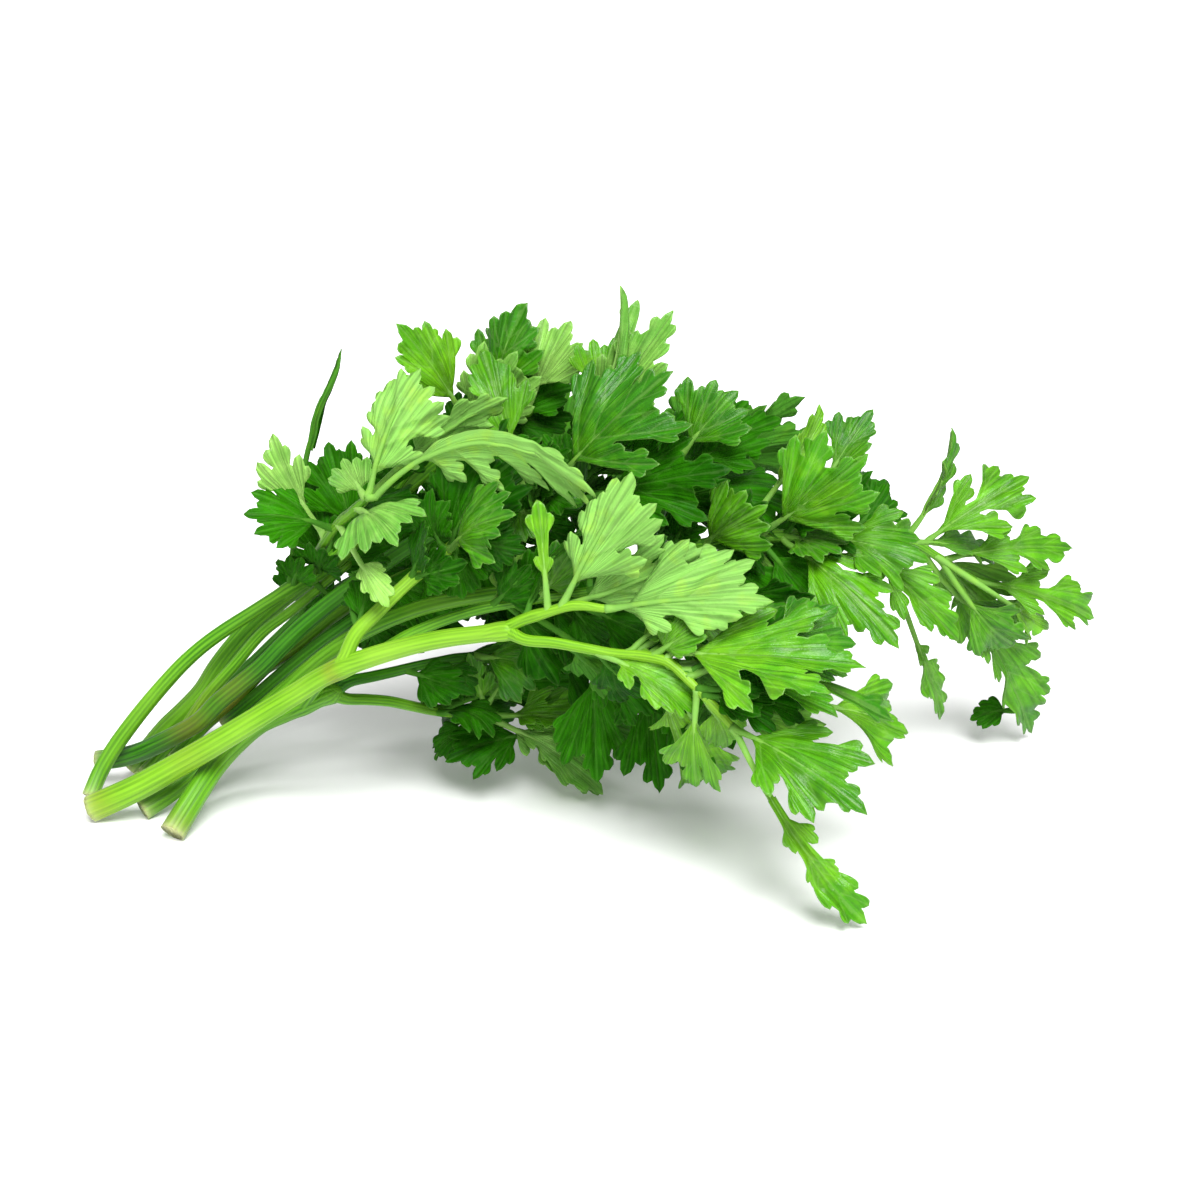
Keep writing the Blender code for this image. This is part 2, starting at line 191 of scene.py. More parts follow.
# %% Table finish
# White acrylic of a shooting table: a cast sheet, satin on top, with a faint emission that paints light in
# place of a lamp under it, so that the eye reads it as plain white and the shadows on it stay light.
PAINTED_TABLE_GLOW = 0.05

white_acrylic_with_painted_glow, add = new_material("white_acrylic_with_painted_glow")
# Painted glow: the emission lightens the table and the shadows on it, though no lamp lies under it.
shader = add("BsdfPrincipled", {"Base Color": linear("#f2f2f2"), "Roughness": 0.6,
                                "Emission Color": linear("#f4fff0"),
                                "Emission Strength": PAINTED_TABLE_GLOW})
add("OutputMaterial", {"Surface": shader})
table.data.materials.append(white_acrylic_with_painted_glow)
print("the table glows with strength", PAINTED_TABLE_GLOW)

# %% [markdown]
# ## Parsley blade
# A parsley leaf is two skins round a layer of wet green cells, about 0.3 mm in all. The upper skin is
# waxy, so it has a soft gloss and a deep, saturated green. The underside has more air in it and no
# wax: it is matt and paler. Light that comes through is yellow-green. A net of fine veins, about a
# millimetre across a mesh, stands out lighter than the flesh between.
# The mesh says where the veins, the rim and the upper side are, in attributes, and the shader turns
# them to colour. So the veins stay crisp from any side and need no image.

# %% Blade material
VEIN_HEX = "#a0c670"
RIM_HEX = "#97c261"
RIM_MM = 0.36
# Each kind of vein: its attribute, how wide its line is to each side in millimetres, and its strength.
VEIN_LINES = (("main_vein", 0.36, 1.0), ("side_vein", 0.28, 0.75), ("small_vein", 0.22, 0.30))
PLEAT_MM = 0.10
PLEAT_REACH_MM = 1.3
STREAK_MM = 0.13
STREAKS_PER_RADIAN = 34.0
NET_MM = 0.02
NET_MESH_MM = 0.9
LIGHT_THROUGH = 0.30


def parsley_blade(name, upper, young, underside, glow, gloss=0.42, pale_lines=0.17):
    """Waxy green above, matt and paler below, and yellow-green where light comes through."""
    material, add = new_material(name)
    place = add("Attribute", {"attribute_name": "blade_mm"}).outputs["Vector"]
    grown = {key: add("Attribute", {"attribute_name": key}).outputs["Fac"]
             for key in ("main_vein", "side_vein", "small_vein", "upper", "tint", "edge", "fan", "out")}

    # Veins: a line where the distance to the nearest one is small.
    main, side, small = (add("MapRange", {"interpolation_type": "SMOOTHSTEP", "From Max": width,
                                          "To Min": strength, "To Max": 0.0, "Value": grown[key]})
                         for key, width, strength in VEIN_LINES)
    both = add("Math", {"operation": "MAXIMUM", 0: main, 1: side})
    lines = add("Math", {"operation": "MAXIMUM", 0: both, 1: small})

    # Pleats: the flesh stands up between two veins. Streaks run beside the veins, as the fine strands do.
    from_vein = add("Math", {"operation": "MINIMUM", 0: grown["main_vein"], 1: grown["side_vein"]})
    pleat = add("MapRange", {"interpolation_type": "SMOOTHSTEP", "From Max": PLEAT_REACH_MM,
                             "To Max": PLEAT_MM, "Value": from_vein})
    turned = add("MapRange", {"To Min": -1.0, "Value": grown["upper"]})
    rise = add("Math", {"operation": "MULTIPLY", 0: pleat, 1: turned})
    spread = add("Math", {"operation": "MULTIPLY", 0: grown["fan"], 1: STREAKS_PER_RADIAN})
    seed = add("SeparateXYZ", {"Vector": place}).outputs["Z"]
    beside = add("CombineXYZ", {"X": spread, "Y": grown["out"], "Z": seed})
    strands = add("TexNoise", {"Scale": 1.0, "Detail": 2.0, "Vector": beside})
    streak = add("MapRange", {"From Min": 0.36, "From Max": 0.64, "Value": strands})
    net = add("TexVoronoi", {"feature": "DISTANCE_TO_EDGE", "Scale": 1 / NET_MESH_MM, "Vector": place})
    net_line = add("MapRange", {"From Max": 0.2, "To Min": 1.0, "To Max": 0.0, "Value": net})

    # Soft patches, some millimetres wide, where the flesh is younger, and a paler foot to each blade.
    cloud = add("TexNoise", {"Scale": 0.22, "Detail": 3.0, "Vector": place})
    patch = add("MapRange", {"From Min": 0.35, "From Max": 0.7, "To Min": -0.30, "To Max": 0.30,
                             "Value": cloud})
    foot = add("MapRange", {"From Min": 0.1, "From Max": 0.9, "To Min": 0.34, "To Max": -0.16,
                            "Value": grown["out"]})
    uneven = add("Math", {"operation": "ADD", 0: foot, 1: patch})
    youth = add("Math", {"operation": "ADD", "use_clamp": True, 0: grown["tint"], 1: uneven})

    # In a colour mix, input 0 is the share, and inputs 6 and 7 are the two colours.
    top_flesh = add("Mix", {"data_type": "RGBA", 0: youth, 6: linear(upper), 7: linear(young)})
    low_flesh = add("Mix", {"data_type": "RGBA", 0: patch, 6: linear(underside), 7: linear(glow)})
    flesh = add("Mix", {"data_type": "RGBA", 0: grown["upper"], 6: low_flesh, 7: top_flesh})
    # The streaks also paint light and shade: the flesh is lighter where the bump raises a strand and darker
    # where it sinks one, on top of the strands' own tone.
    shade = add("MapRange", {"To Min": 0.66, "To Max": 1.24, "Value": streak})
    streaked = add("VectorMath", {"operation": "SCALE", 0: flesh, "Scale": shade})
    vein_share = add("Math", {"operation": "MULTIPLY", 0: lines, 1: pale_lines})
    veined = add("Mix", {"data_type": "RGBA", 0: vein_share, 6: streaked, 7: linear(VEIN_HEX)})
    rim = add("MapRange", {"interpolation_type": "SMOOTHSTEP", "From Max": RIM_MM,
                           "To Min": 1.3 * pale_lines, "To Max": 0.0, "Value": grown["edge"]})
    coloured = add("Mix", {"data_type": "RGBA", 0: rim, 6: veined, 7: linear(RIM_HEX)})

    # Relief too fine for the mesh: pleats, streaks, and the net of the smallest veins.
    fine = add("Math", {"operation": "MULTIPLY_ADD", 0: streak, 1: STREAK_MM, 2: rise})
    height = add("Math", {"operation": "MULTIPLY_ADD", 0: net_line, 1: -NET_MM, 2: fine})
    grain = add("Bump", {"Strength": 1.0, "Distance": MM, "Height": height})
    roughness = add("MapRange", {"To Min": 0.66, "To Max": 0.33, "Value": grown["upper"]})
    skin = add("BsdfPrincipled", {"IOR": 1.42, "Specular IOR Level": gloss, "Base Color": coloured,
                                  "Roughness": roughness, "Normal": grain})
    through = add("Mix", {"data_type": "RGBA", 0: 0.55, 6: coloured, 7: linear(glow)})
    lit_through = add("BsdfTranslucent", {"Color": through, "Normal": grain})
    leaf = add("MixShader", {"Fac": LIGHT_THROUGH, 1: skin, 2: lit_through})
    add("OutputMaterial", {"Surface": leaf})
    return material


# Colours of the upper side full grown and young, of the underside, and of light that comes through.
BLADES = {
    "young": parsley_blade("young_parsley_blade", "#45920a", "#7cc020", "#88c458", "#add82b"),
    "grown": parsley_blade("grown_parsley_blade", "#307907", "#61a914", "#73af3d", "#9ed328"),
    # The deep blade is a darker, barely glossy copy for leaves inside the bunch: painted shade where leaves
    # shade one another.
    "deep": parsley_blade("shaded_parsley_blade", "#154d03", "#307c07", "#448324", "#6cad19", 0.06, 0.06),
    # The pale blade is partly the paler leaves and partly a lit copy: painted light on leaves that face the
    # light from above.
    "pale": parsley_blade("pale_and_lit_parsley_blade", "#66a63c", "#9cd062", "#94c860", "#b0d654"),
    "lime": parsley_blade("tender_parsley_blade", "#90cd4f", "#addf73", "#a2d86c", "#c2e682"),
}
print("blade materials:", *BLADES)

# %% [markdown]
# ## Stalk skin
# A parsley stalk is a solid, juicy rod with a waxy skin, drawn into long ribs by the strands that carry
# its water. The colour paints a highlight on the ribs as pale lines, and paints shade in the grooves between,
# which stay darker. Near a joint the skin can blush red-brown, and a cut end shows the pale pith.

# %% Stalk material
BLUSH_HEX = "#8b5128"
PITH_HEX = "#c3c390"
# Streaks: noise that is short around the stalk and long along it, in waves to a millimetre.
STREAK_WAVES = (2.4, 0.05, 1.0)
FIBRE_MM = 0.15


def stalk_skin(name, shaded_groove_hex, lit_rib_hex, pale_hex):
    """Waxy green skin with ribs painted pale as a highlight and grooves painted dark as shade, long streaks,
    a red-brown blush and pale pith.
    """
    material, add = new_material(name)
    place = add("Attribute", {"attribute_name": "stalk_mm"}).outputs["Vector"]
    rib, pith, blush = (add("Attribute", {"attribute_name": key}).outputs["Fac"]
                        for key in ("rib", "pith", "blush"))
    stretched = add("Mapping", {"Scale": STREAK_WAVES, "Vector": place})
    streak = add("TexNoise", {"Scale": 1.0, "Detail": 4.0, "Vector": stretched})
    cloud = add("TexNoise", {"Scale": 0.05, "Detail": 2.0, "Vector": place})
    streak_share = add("MapRange", {"From Min": 0.35, "From Max": 0.65, "To Min": -0.5, "To Max": 0.4,
                                    "Value": streak})
    # Painted highlight and shade: the skin is paler on the ribs and darker in the grooves.
    lit_rib_share = add("Math", {"operation": "ADD", "use_clamp": True, 0: rib, 1: streak_share})
    green = add("Mix", {"data_type": "RGBA", 0: lit_rib_share, 6: linear(shaded_groove_hex), 7: linear(lit_rib_hex)})
    pale_share = add("MapRange", {"From Min": 0.4, "From Max": 0.75, "To Max": 0.4, "Value": cloud})
    varied = add("Mix", {"data_type": "RGBA", 0: pale_share, 6: green, 7: linear(pale_hex)})
    blushed = add("Mix", {"data_type": "RGBA", 0: blush, 6: varied, 7: linear(BLUSH_HEX)})
    cut = add("Mix", {"data_type": "RGBA", 0: pith, 6: blushed, 7: linear(PITH_HEX)})
    fibre = add("Bump", {"Strength": 0.8, "Distance": FIBRE_MM * MM, "Height": streak})
    skin = add("BsdfPrincipled", {"IOR": 1.42, "Roughness": 0.42, "Specular IOR Level": 0.3,
                                  "Subsurface Weight": 0.12, "Subsurface Radius": (0.6, 1.0, 0.2),
                                  "Subsurface Scale": 1.2 * MM, "Base Color": cut, "Normal": fibre})
    add("OutputMaterial", {"Surface": skin})
    return material


# Colours of the grooves with their painted shade, of the ribs with their painted highlight, and of pale
# patches.
SKINS = {
    "pale_stalk_skin": stalk_skin("pale_parsley_stalk", "#588c12", "#74ac1c", "#96c040"),
    "green_stalk_skin": stalk_skin("green_parsley_stalk", "#336c07", "#5a9a16", "#79aa2d"),
    # The deep skin is a darker copy of the stalk skin for stalks inside the bunch: painted shade.
    "dark_stalk_skin": stalk_skin("shaded_parsley_stalk", "#1a5006", "#36790c", "#518e1d"),
}
print("stalk materials:", *SKINS)

# %% [markdown]
# ## Read the plain solids
# Each plain solid is a tube or a thin blade. To grow a surface on one, the lesson first asks what it
# is: a line of ring centres with a radius at each for a tube, and a base, a tip and a bend for a blade.
# Reading the shape back keeps every grown piece where the model says, with no second list of places.

# %% Points and triangles of a node
def points_of(mesh):
    """The points of a mesh, in millimetres."""
    points = np.empty(3 * len(mesh.vertices), np.float32)
    mesh.vertices.foreach_get("co", points)
    return points.reshape(-1, 3).astype(float) / MM


def solid_of(name):
    """A node's points in millimetres, each once, and its triangles."""
    mesh = frame["nodes"][name].data
    mesh.calc_loop_triangles()
    triangles = np.empty(3 * len(mesh.loop_triangles), np.int32)
    mesh.loop_triangles.foreach_get("vertices", triangles)
    unique, index = np.unique(np.round(points_of(mesh), 3), axis=0, return_inverse=True)
    triangles = index.reshape(-1)[triangles.reshape(-1, 3)]
    return unique, triangles[[len(set(t)) == 3 for t in triangles.tolist()]]


print("plain solids to read:", len(frame["nodes"]))


def unit(vectors):
    """Vectors scaled to length 1."""
    vectors = np.asarray(vectors, float)
    return vectors / np.maximum(np.linalg.norm(vectors, axis=-1, keepdims=True), 1e-12)

# %% Tubes: ring centres and radii
# The triangles of a flat end face one way and lie in one plane, and the sides turn away from it: cosines
# of the angles, and how far from the plane a corner may be.
SAME_WAY, SAME_PLANE_MM, TURNED_AWAY = 0.9999, 0.1, 0.5


def cap_points(points, triangles):
    """The points of one flat end of a tube: the flat place whose every neighbour turns away sharply."""
    a, b, c = (points[triangles[:, k]] for k in range(3))
    normals = unit(np.cross(b - a, c - a))
    for normal, corner in zip(normals, a):
        flat = (normals @ normal > SAME_WAY) & (abs((a - corner) @ normal) < SAME_PLANE_MM)
        cap = np.unique(triangles[flat])
        beside = ~flat & (np.isin(triangles, cap).sum(axis=1) >= 2)
        if abs(normals[beside] @ normal).max() < TURNED_AWAY:
            return set(cap.tolist())
    raise ValueError("this tube has no flat end")


def read_tube(name):
    """The ring centres and radii of a tube, from its thick end to its thin end."""
    points, triangles = solid_of(name)
    near = {k: set() for k in range(len(points))}
    for a, b, c in triangles.tolist():
        near[a] |= {b, c}
        near[b] |= {a, c}
        near[c] |= {a, b}
    ring = cap_points(points, triangles)
    seen, centres, radii = set(), [], []
    while ring:
        seen |= ring
        corners = points[sorted(ring)]
        centres.append(corners.mean(axis=0))
        radii.append(np.linalg.norm(corners - centres[-1], axis=1).mean())
        ring = set().union(*(near[k] for k in ring)) - seen
    centres, radii = np.array(centres), np.array(radii)
    return (centres, radii) if radii[0] > radii[-1] else (centres[::-1], radii[::-1])


subparts = frame["record"]["subparts"]
slot_of = {row["node"]: row["material_slot"] for row in subparts}
stem_names = [name for name in slot_of if slot_of[name].endswith("stalk_skin")]
leaf_names = [name for name in slot_of if slot_of[name].endswith("blade")]
plain_stems = set(stem_names)
tubes = {name: read_tube(name) for name in stem_names}
for name, (centres, radii) in tubes.items():
    print(name, len(centres), "rings, radius", round(radii[0], 2), "to", round(radii[-1], 2))

# %% Thin stalks between the plain ones
# Radius at the cut end and at the far end, slot, and the route, all in millimetres.
THIN_STALKS = {
    "twin_stalk_second": (1.7, 1.2, "green_stalk_skin", (
        (-113, 13, 3), (-103, 13, 14), (-96, 13, 24), (-89, 13, 32), (-82, 14, 40), (-74, 15, 46),
        (-61, 16, 57))),
    "inner_stalk_upper": (1.7, 1.2, "green_stalk_skin", (
        (-105, 10, 8), (-97, 10, 17), (-90, 10, 23), (-81, 11, 32), (-74, 11, 37), (-64, 12, 45),
        (-52, 12, 53), (-37, 12, 60))),
    "inner_stalk_lower": (1.8, 1.2, "dark_stalk_skin", (
        (-92, 9, 18), (-84, 9, 25), (-74, 9, 34), (-64, 9, 42), (-53, 9, 49), (-39, 8, 55), (-25, 6, 60))),
    "inner_stalk_near": (1.7, 1.1, "green_stalk_skin", (
        (-65, -12, 38), (-61, -14, 42), (-53, -15, 45), (-43, -15, 51), (-29, -14, 56), (-12, -13, 59),
        (4, -13, 61))),
}
for name, (start_radius, end_radius, slot, route) in THIN_STALKS.items():
    stem_names.append(name)
    slot_of[name] = slot
    tubes[name] = np.array(route, float), np.linspace(start_radius, end_radius, len(route))
print("thin stalks:", *THIN_STALKS)

# %% [markdown]
# ## Grow the stalks
# A stalk could be a plain round bevel on a curve, but its ribs are what makes it read as parsley: so
# each one is swept ring by ring. A ring's radius rises on the ribs and dips in the grooves, swells
# where a branch or a leaf leaves, and closes in a slightly hollow cut end.

# %% Lines through ring centres
STEPS_BETWEEN_RINGS = 8
LINE_SPACING_MM = 0.8


def catmull_rom(points, steps):
    """Points on a smooth line through the given points, with steps to each gap."""
    padded = np.vstack([2 * points[0] - points[1], points, 2 * points[-1] - points[-2]])
    t = np.linspace(0, 1, steps, endpoint=False)[:, None]
    fine = []
    for p0, p1, p2, p3 in zip(padded, padded[1:], padded[2:], padded[3:]):
        fine.append(0.5 * (2 * p1 + (p2 - p0) * t + (2 * p0 - 5 * p1 + 4 * p2 - p3) * t ** 2
                           + (3 * p1 - p0 - 3 * p2 + p3) * t ** 3))
    return np.vstack([*fine, points[-1:]])


def lengths_along(points):
    """How far along a line each of its points is."""
    return np.concatenate([[0.0], np.cumsum(np.linalg.norm(np.diff(points, axis=0), axis=1))])


def point_at(line, along, place):
    """The point of a line at a place along it, or the points at several places."""
    return np.stack([np.interp(place, along, values) for values in line.T], axis=-1)


def even_line(points, values, spacing):
    """The line again with evenly spaced points, their values, and how far along they are."""
    along = lengths_along(points)
    places = np.linspace(0, along[-1], max(4, round(along[-1] / spacing) + 1))
    return point_at(points, along, places), np.interp(places, along, values), places


def smooth_tube(centres, radii, spacing):
    """A tube's centre line and radii, smooth and evenly spaced."""
    fine = catmull_rom(np.column_stack([centres, radii]), STEPS_BETWEEN_RINGS)
    return even_line(fine[:, :3], fine[:, 3], spacing)


lines = {name: smooth_tube(*tubes[name], LINE_SPACING_MM) for name in stem_names}
print("stems in all:", len(lines))

# %% Where a branch comes from
ROOT_SEARCH_MM = 9.0
DRIFT_COST = 0.12


def root_on(stem, point, way):
    """The place on a stem's centre line that a branch comes from, by drawing the branch on backwards."""
    line, _, along = lines[stem]
    near = int(np.linalg.norm(line - point, axis=1).argmin())
    picks = np.flatnonzero(abs(along - along[near]) < ROOT_SEARCH_MM)
    offset = line[picks] - point
    back = np.minimum(offset @ way, 0.0)
    gaps = np.linalg.norm(offset - back[:, None] * way, axis=1)
    k = picks[int((gaps + DRIFT_COST * abs(along[picks] - along[near])).argmin())]
    return line[k], along[k]


def nearest_stem(point, leave_out=None):
    """The stem whose surface is nearest to a point, the place on its line, and how far along that is."""
    best = None
    for name in stem_names:
        if name == leave_out:
            continue
        line, radii, along = lines[name]
        gaps = np.linalg.norm(line - point, axis=1) - radii
        k = int(gaps.argmin())
        if best is None or gaps[k] < best[0]:
            best = (gaps[k], name, line[k], along[k])
    return best[1:]

# %% Mesh helper
def grown_object(name, points, faces, values, material):
    """A smooth mesh object from points in millimetres, with its values as point attributes."""
    mesh = bpy.data.meshes.new(name)
    mesh.from_pydata((np.asarray(points) * MM).tolist(), [], faces)
    for key, value in values.items():
        value = np.asarray(value, np.float32)
        kind, field = ("FLOAT_VECTOR", "vector") if value.ndim == 2 else ("FLOAT", "value")
        mesh.attributes.new(key, kind, "POINT").data.foreach_set(field, value.reshape(-1))
    mesh.polygons.foreach_set("use_smooth", [True] * len(mesh.polygons))
    mesh.materials.append(material)
    return in_scene(bpy.data.objects.new(name, mesh))


def seed_of(name):
    """A fixed number for a name, so that each piece is the same in every run."""
    return zlib.crc32(name.encode())

# %% Sweep a ring along a line
def ring_frames(line):
    """Two directions square to a line at each of its points, with no twist from one point to the next."""
    tangents = unit(np.gradient(line, axis=0))
    side = unit(np.cross(tangents[0], (0.0, 0.0, 1.0) if abs(tangents[0][2]) < 0.9 else (1.0, 0.0, 0.0)))
    sides = []
    for tangent in tangents:
        side = unit(side - side.dot(tangent) * tangent)
        sides.append(side)
    sides = np.array(sides)
    return sides, np.cross(tangents, sides)


def swept(line, radii, sides):
    """The points and faces of a closed tube. radii holds one radius for each ring and each of its sides."""
    side_a, side_b = ring_frames(line)
    theta = np.linspace(0, 2 * math.pi, sides, endpoint=False)
    rings = (line[:, None] + radii[:, :, None] * (np.cos(theta)[None, :, None] * side_a[:, None]
                                                   + np.sin(theta)[None, :, None] * side_b[:, None]))
    faces = []
    for i in range(len(line) - 1):
        for j in range(sides):
            a, b = i * sides + j, i * sides + (j + 1) % sides
            faces.append((a, b, b + sides, a + sides))
    faces.append(tuple(range(sides))[::-1])
    faces.append(tuple(range((len(line) - 1) * sides, len(line) * sides)))
    return rings.reshape(-1, 3), faces

# %% One stalk
RING_SPACING_MM = 1.2
RIB_HEIGHT = 0.055
FEWEST_RIBS = 6
RIBS_PER_MM = 2.2
# The ribs wind a little round the stalk: this many radians in a millimetre.
RIB_DRIFT = 0.006
RIB_POWER, MEAN_RIDGE = 0.7, 0.6
# How much a stem swells where a branch or leaf leaves it, and at its own foot, and how far that reaches.
JOINT_SWELLING, JOINT_REACH_MM = 0.12, 2.6
FOOT_SWELLING, FOOT_REACH_MM = 0.35, 2.5
UNEVENNESS = 0.12
# Where a stem blushes red-brown: the part of its length, the reach in millimetres and the strength.
BLUSHES = {
    "front_stalk": ((0.62, 2.2, 0.30), (0.02, 5.0, 0.25), (0.25, 6.0, 0.12)),
    "cross_stalk": ((0.22, 7.0, 0.3), (0.32, 6.0, 0.2)),
    "inner_stalk_upper": ((0.25, 7.0, 0.5), (0.42, 8.0, 0.25)),
    "twin_stalk_second": ((0.30, 8.0, 0.2),),
    "low_stalk": ((0.02, 4.0, 0.2),),
}
# How much pale pith shows on a cut face, and on the skin beside it, and how far that reaches.
FACE_PITH, SKIN_PITH, PITH_REACH_MM = 0.9, 0.6, 1.2
# Rings that close a tube: each one's share of the radius, and how far in or out it lies, in radii.
CUT_DISH = ((0.02, -0.5), (0.45, -0.42), (0.80, -0.12), (0.97, 0.0))
TIP_DOME = ((0.95, 0.2), (0.7, 0.6), (0.35, 0.9), (0.02, 1.0))


def with_ends(line, radii, is_cut):
    """Adds the rings that close a tube: a slight dish at a cut end, and a low dome at each other end."""
    start_way, end_way = unit(line[0] - line[1]), unit(line[-1] - line[-2])
    start_rings = [(line[0] + start_way * radii[0] * rise, radii[0] * share)
                   for share, rise in (CUT_DISH if is_cut else TIP_DOME[::-1])]
    end_rings = [(line[-1] + end_way * radii[-1] * rise, radii[-1] * share) for share, rise in TIP_DOME]
    closed = np.array([p for p, _ in start_rings] + list(line) + [p for p, _ in end_rings])
    closed_radii = np.array([r for _, r in start_rings] + list(radii) + [r for _, r in end_rings])
    return closed, closed_radii, len(start_rings)


def grow_stem(name, is_cut):
    """The ribbed surface of one stalk or branch."""
    rng = random.Random(seed_of(name))
    centres, radii = tubes[name]
    if not is_cut:
        centres = np.vstack([parents[name][1], centres])
        radii = np.concatenate([[radii[0]], radii])
    line, radii, along = smooth_tube(centres, radii, RING_SPACING_MM)
    for joint in (place for parent, _, place in parents.values() if parent == name):
        radii = radii * (1 + JOINT_SWELLING * np.exp(-((along - joint) / JOINT_REACH_MM) ** 2))
    if not is_cut:
        radii = radii * (1 + FOOT_SWELLING * np.exp(-(along / FOOT_REACH_MM) ** 2))
    closed, closed_radii, lead = with_ends(line, radii, is_cut)
    ring_along = np.concatenate([[0.0] * lead, along, [along[-1]] * len(TIP_DOME)])

    ribs = round(FEWEST_RIBS + RIBS_PER_MM * radii[0])
    sides = 4 * ribs
    theta = np.linspace(0, 2 * math.pi, sides, endpoint=False)
    drift = RIB_DRIFT * ring_along + rng.uniform(0, 6)
    ridge = (0.5 + 0.5 * np.cos(ribs * theta[None, :] + drift[:, None])) ** RIB_POWER
    uneven = np.array([[noise.noise(Vector((1.5 * math.cos(t), 1.5 * math.sin(t), 0.02 * a + drift[0])))
                        for t in theta] for a in ring_along])
    ring_radii = closed_radii[:, None] * (1 + RIB_HEIGHT * (ridge - MEAN_RIDGE) + UNEVENNESS * uneven)
    points, faces = swept(closed, ring_radii, sides)

    ring_of = np.repeat(np.arange(len(closed)), sides)
    place = np.column_stack([np.tile(theta, len(closed)) * closed_radii[ring_of], ring_along[ring_of],
                             np.full(len(points), rng.uniform(0, 50))])
    pith = np.zeros(len(points))
    if is_cut:
        pith = np.where(ring_of < lead, FACE_PITH, SKIN_PITH * np.exp(-ring_along[ring_of] / PITH_REACH_MM))
    blush = np.zeros(len(points))
    for where, reach, strength in BLUSHES.get(name, ()):
        from_centre = ring_along[ring_of] - where * along[-1]
        blush = np.maximum(blush, strength * np.exp(-(from_centre / reach) ** 2))
    blush *= 0.6 + 0.4 * ridge.reshape(-1)
    values = {"stalk_mm": place, "rib": ridge.reshape(-1), "pith": pith, "blush": blush}
    piece = grown_object(name + "_skin", points, faces, values, SKINS[slot_of[name]])
    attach(piece, "root")
    if name in plain_stems:
        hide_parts(name)
    return piece

# %% [markdown]
# ## Read the plain blades
# A plain blade is a thin plate: a narrow petiole, then a wedge that ends in a point. Its points are
# close together only where it is narrow, which tells its two ends apart. Its bend is then fitted with a
# few smooth terms, so that a lobed blade can be laid on the same curved surface.

# %% Ends of a blade
ROW_WIDTH_MM = 1.3
ROW_POINTS = 6
FOOT_ROW_MM = 0.6
TIP_ZONE_MM = 2.0
# The fold along the midrib is full at one part in this many of a blade's length.
FOLD_GROWTH = 3


def narrow_clusters(points):
    """Groups of points that lie close together: the rows of the petiole and the row at the tip."""
    gaps = np.linalg.norm(points[:, None] - points[None], axis=2)
    left = set(np.flatnonzero((gaps < ROW_WIDTH_MM).sum(axis=1) >= ROW_POINTS).tolist())
    groups = []
    while left:
        group, edge = set(), {left.pop()}
        while edge:
            group |= edge
            edge = {k for k in left if gaps[k, sorted(edge)].min() < ROW_WIDTH_MM}
            left -= edge
        groups.append(points[sorted(group)])
    return groups


def read_blade(name):
    """Where a blade starts and ends, its directions, half-width and bend, all in millimetres."""
    points, _ = solid_of(name)
    groups = narrow_clusters(points)
    tip = min(groups, key=lambda g: np.linalg.norm(g - g.mean(axis=0), axis=1).max()).mean(axis=0)
    foot = max(groups, key=lambda g: np.linalg.norm(g.mean(axis=0) - tip))
    reach = np.linalg.norm(foot - tip, axis=1)
    base = foot[reach > reach.max() - FOOT_ROW_MM].mean(axis=0)
    length = np.linalg.norm(tip - base)
    forward = (tip - base) / length
    u = (points - base) @ forward / length
    square = points - base - np.outer(u * length, forward)
    bow = u * (1 - u)

    # The widest spread that is left when the bend along the length is taken away runs across the blade.
    terms = np.column_stack([bow, bow * u])
    loose = square - terms @ np.linalg.lstsq(terms, square, rcond=None)[0]
    across = unit(np.linalg.svd(loose, full_matrices=False)[2][0])
    up = unit(np.cross(across, forward))
    v = square @ across
    sweep = np.linalg.lstsq(bow[:, None], v, rcond=None)[0][0]
    v = v - sweep * bow
    rise = np.minimum(1.0, FOLD_GROWTH * u)
    basis = np.column_stack([bow, bow * u, abs(v) * rise, u * v])
    bend = np.linalg.lstsq(basis, square @ up, rcond=None)[0]
    if bend[2] < 0:
        across, up, v, bend, sweep = -across, -up, -v, -bend, -sweep
        bend[3] = -bend[3]
    narrow_rows = np.vstack([g for g in groups if np.linalg.norm(g.mean(axis=0) - tip) > TIP_ZONE_MM])
    petiole = max(((narrow_rows - base) @ forward).max(), 1.0)
    return {"base": base, "forward": forward, "across": across, "up": up, "length": length,
            "petiole": petiole, "half": abs(v).max(), "sweep": sweep, "bend": bend}


blades = {name: read_blade(name) for name in leaf_names}
for name, blade in blades.items():
    sizes = (round(float(blade[key]), 1) for key in ("length", "petiole", "half"))
    print(name, *sizes, blade["bend"].round(2))


def on_blade(blade, x, y):
    """The points of a blade's bent middle surface that are x along from its base and y across."""
    u = x / blade["length"]
    bow = u * (1 - u)
    bend = blade["bend"]
    rise = np.minimum(1.0, FOLD_GROWTH * u)
    height = bend[0] * bow + bend[1] * bow * u + bend[2] * abs(y) * rise + bend[3] * u * y
    return (blade["base"] + np.outer(x, blade["forward"])
            + np.outer(y + blade["sweep"] * bow, blade["across"]) + np.outer(height, blade["up"]))

# %% [markdown]
# ## Outline of a blade
# A flat-leaf parsley blade is a wedge that is cut into lobes, and each lobe ends in blunt teeth. An
# outline could be drawn by hand for each leaf. But in the real leaf every lobe and every tooth grows
# round a vein of its own, so the outline follows from the veins: each vein carries a finger of flesh,
# and all the fingers joined make the blade. Small random changes then keep any two leaves from matching.

# %% A finger of flesh round a vein
def smooth_step(x):
    """0 below 0, 1 above 1, and a smooth rise between."""
    x = np.clip(x, 0, 1)
    return x * x * (3 - 2 * x)


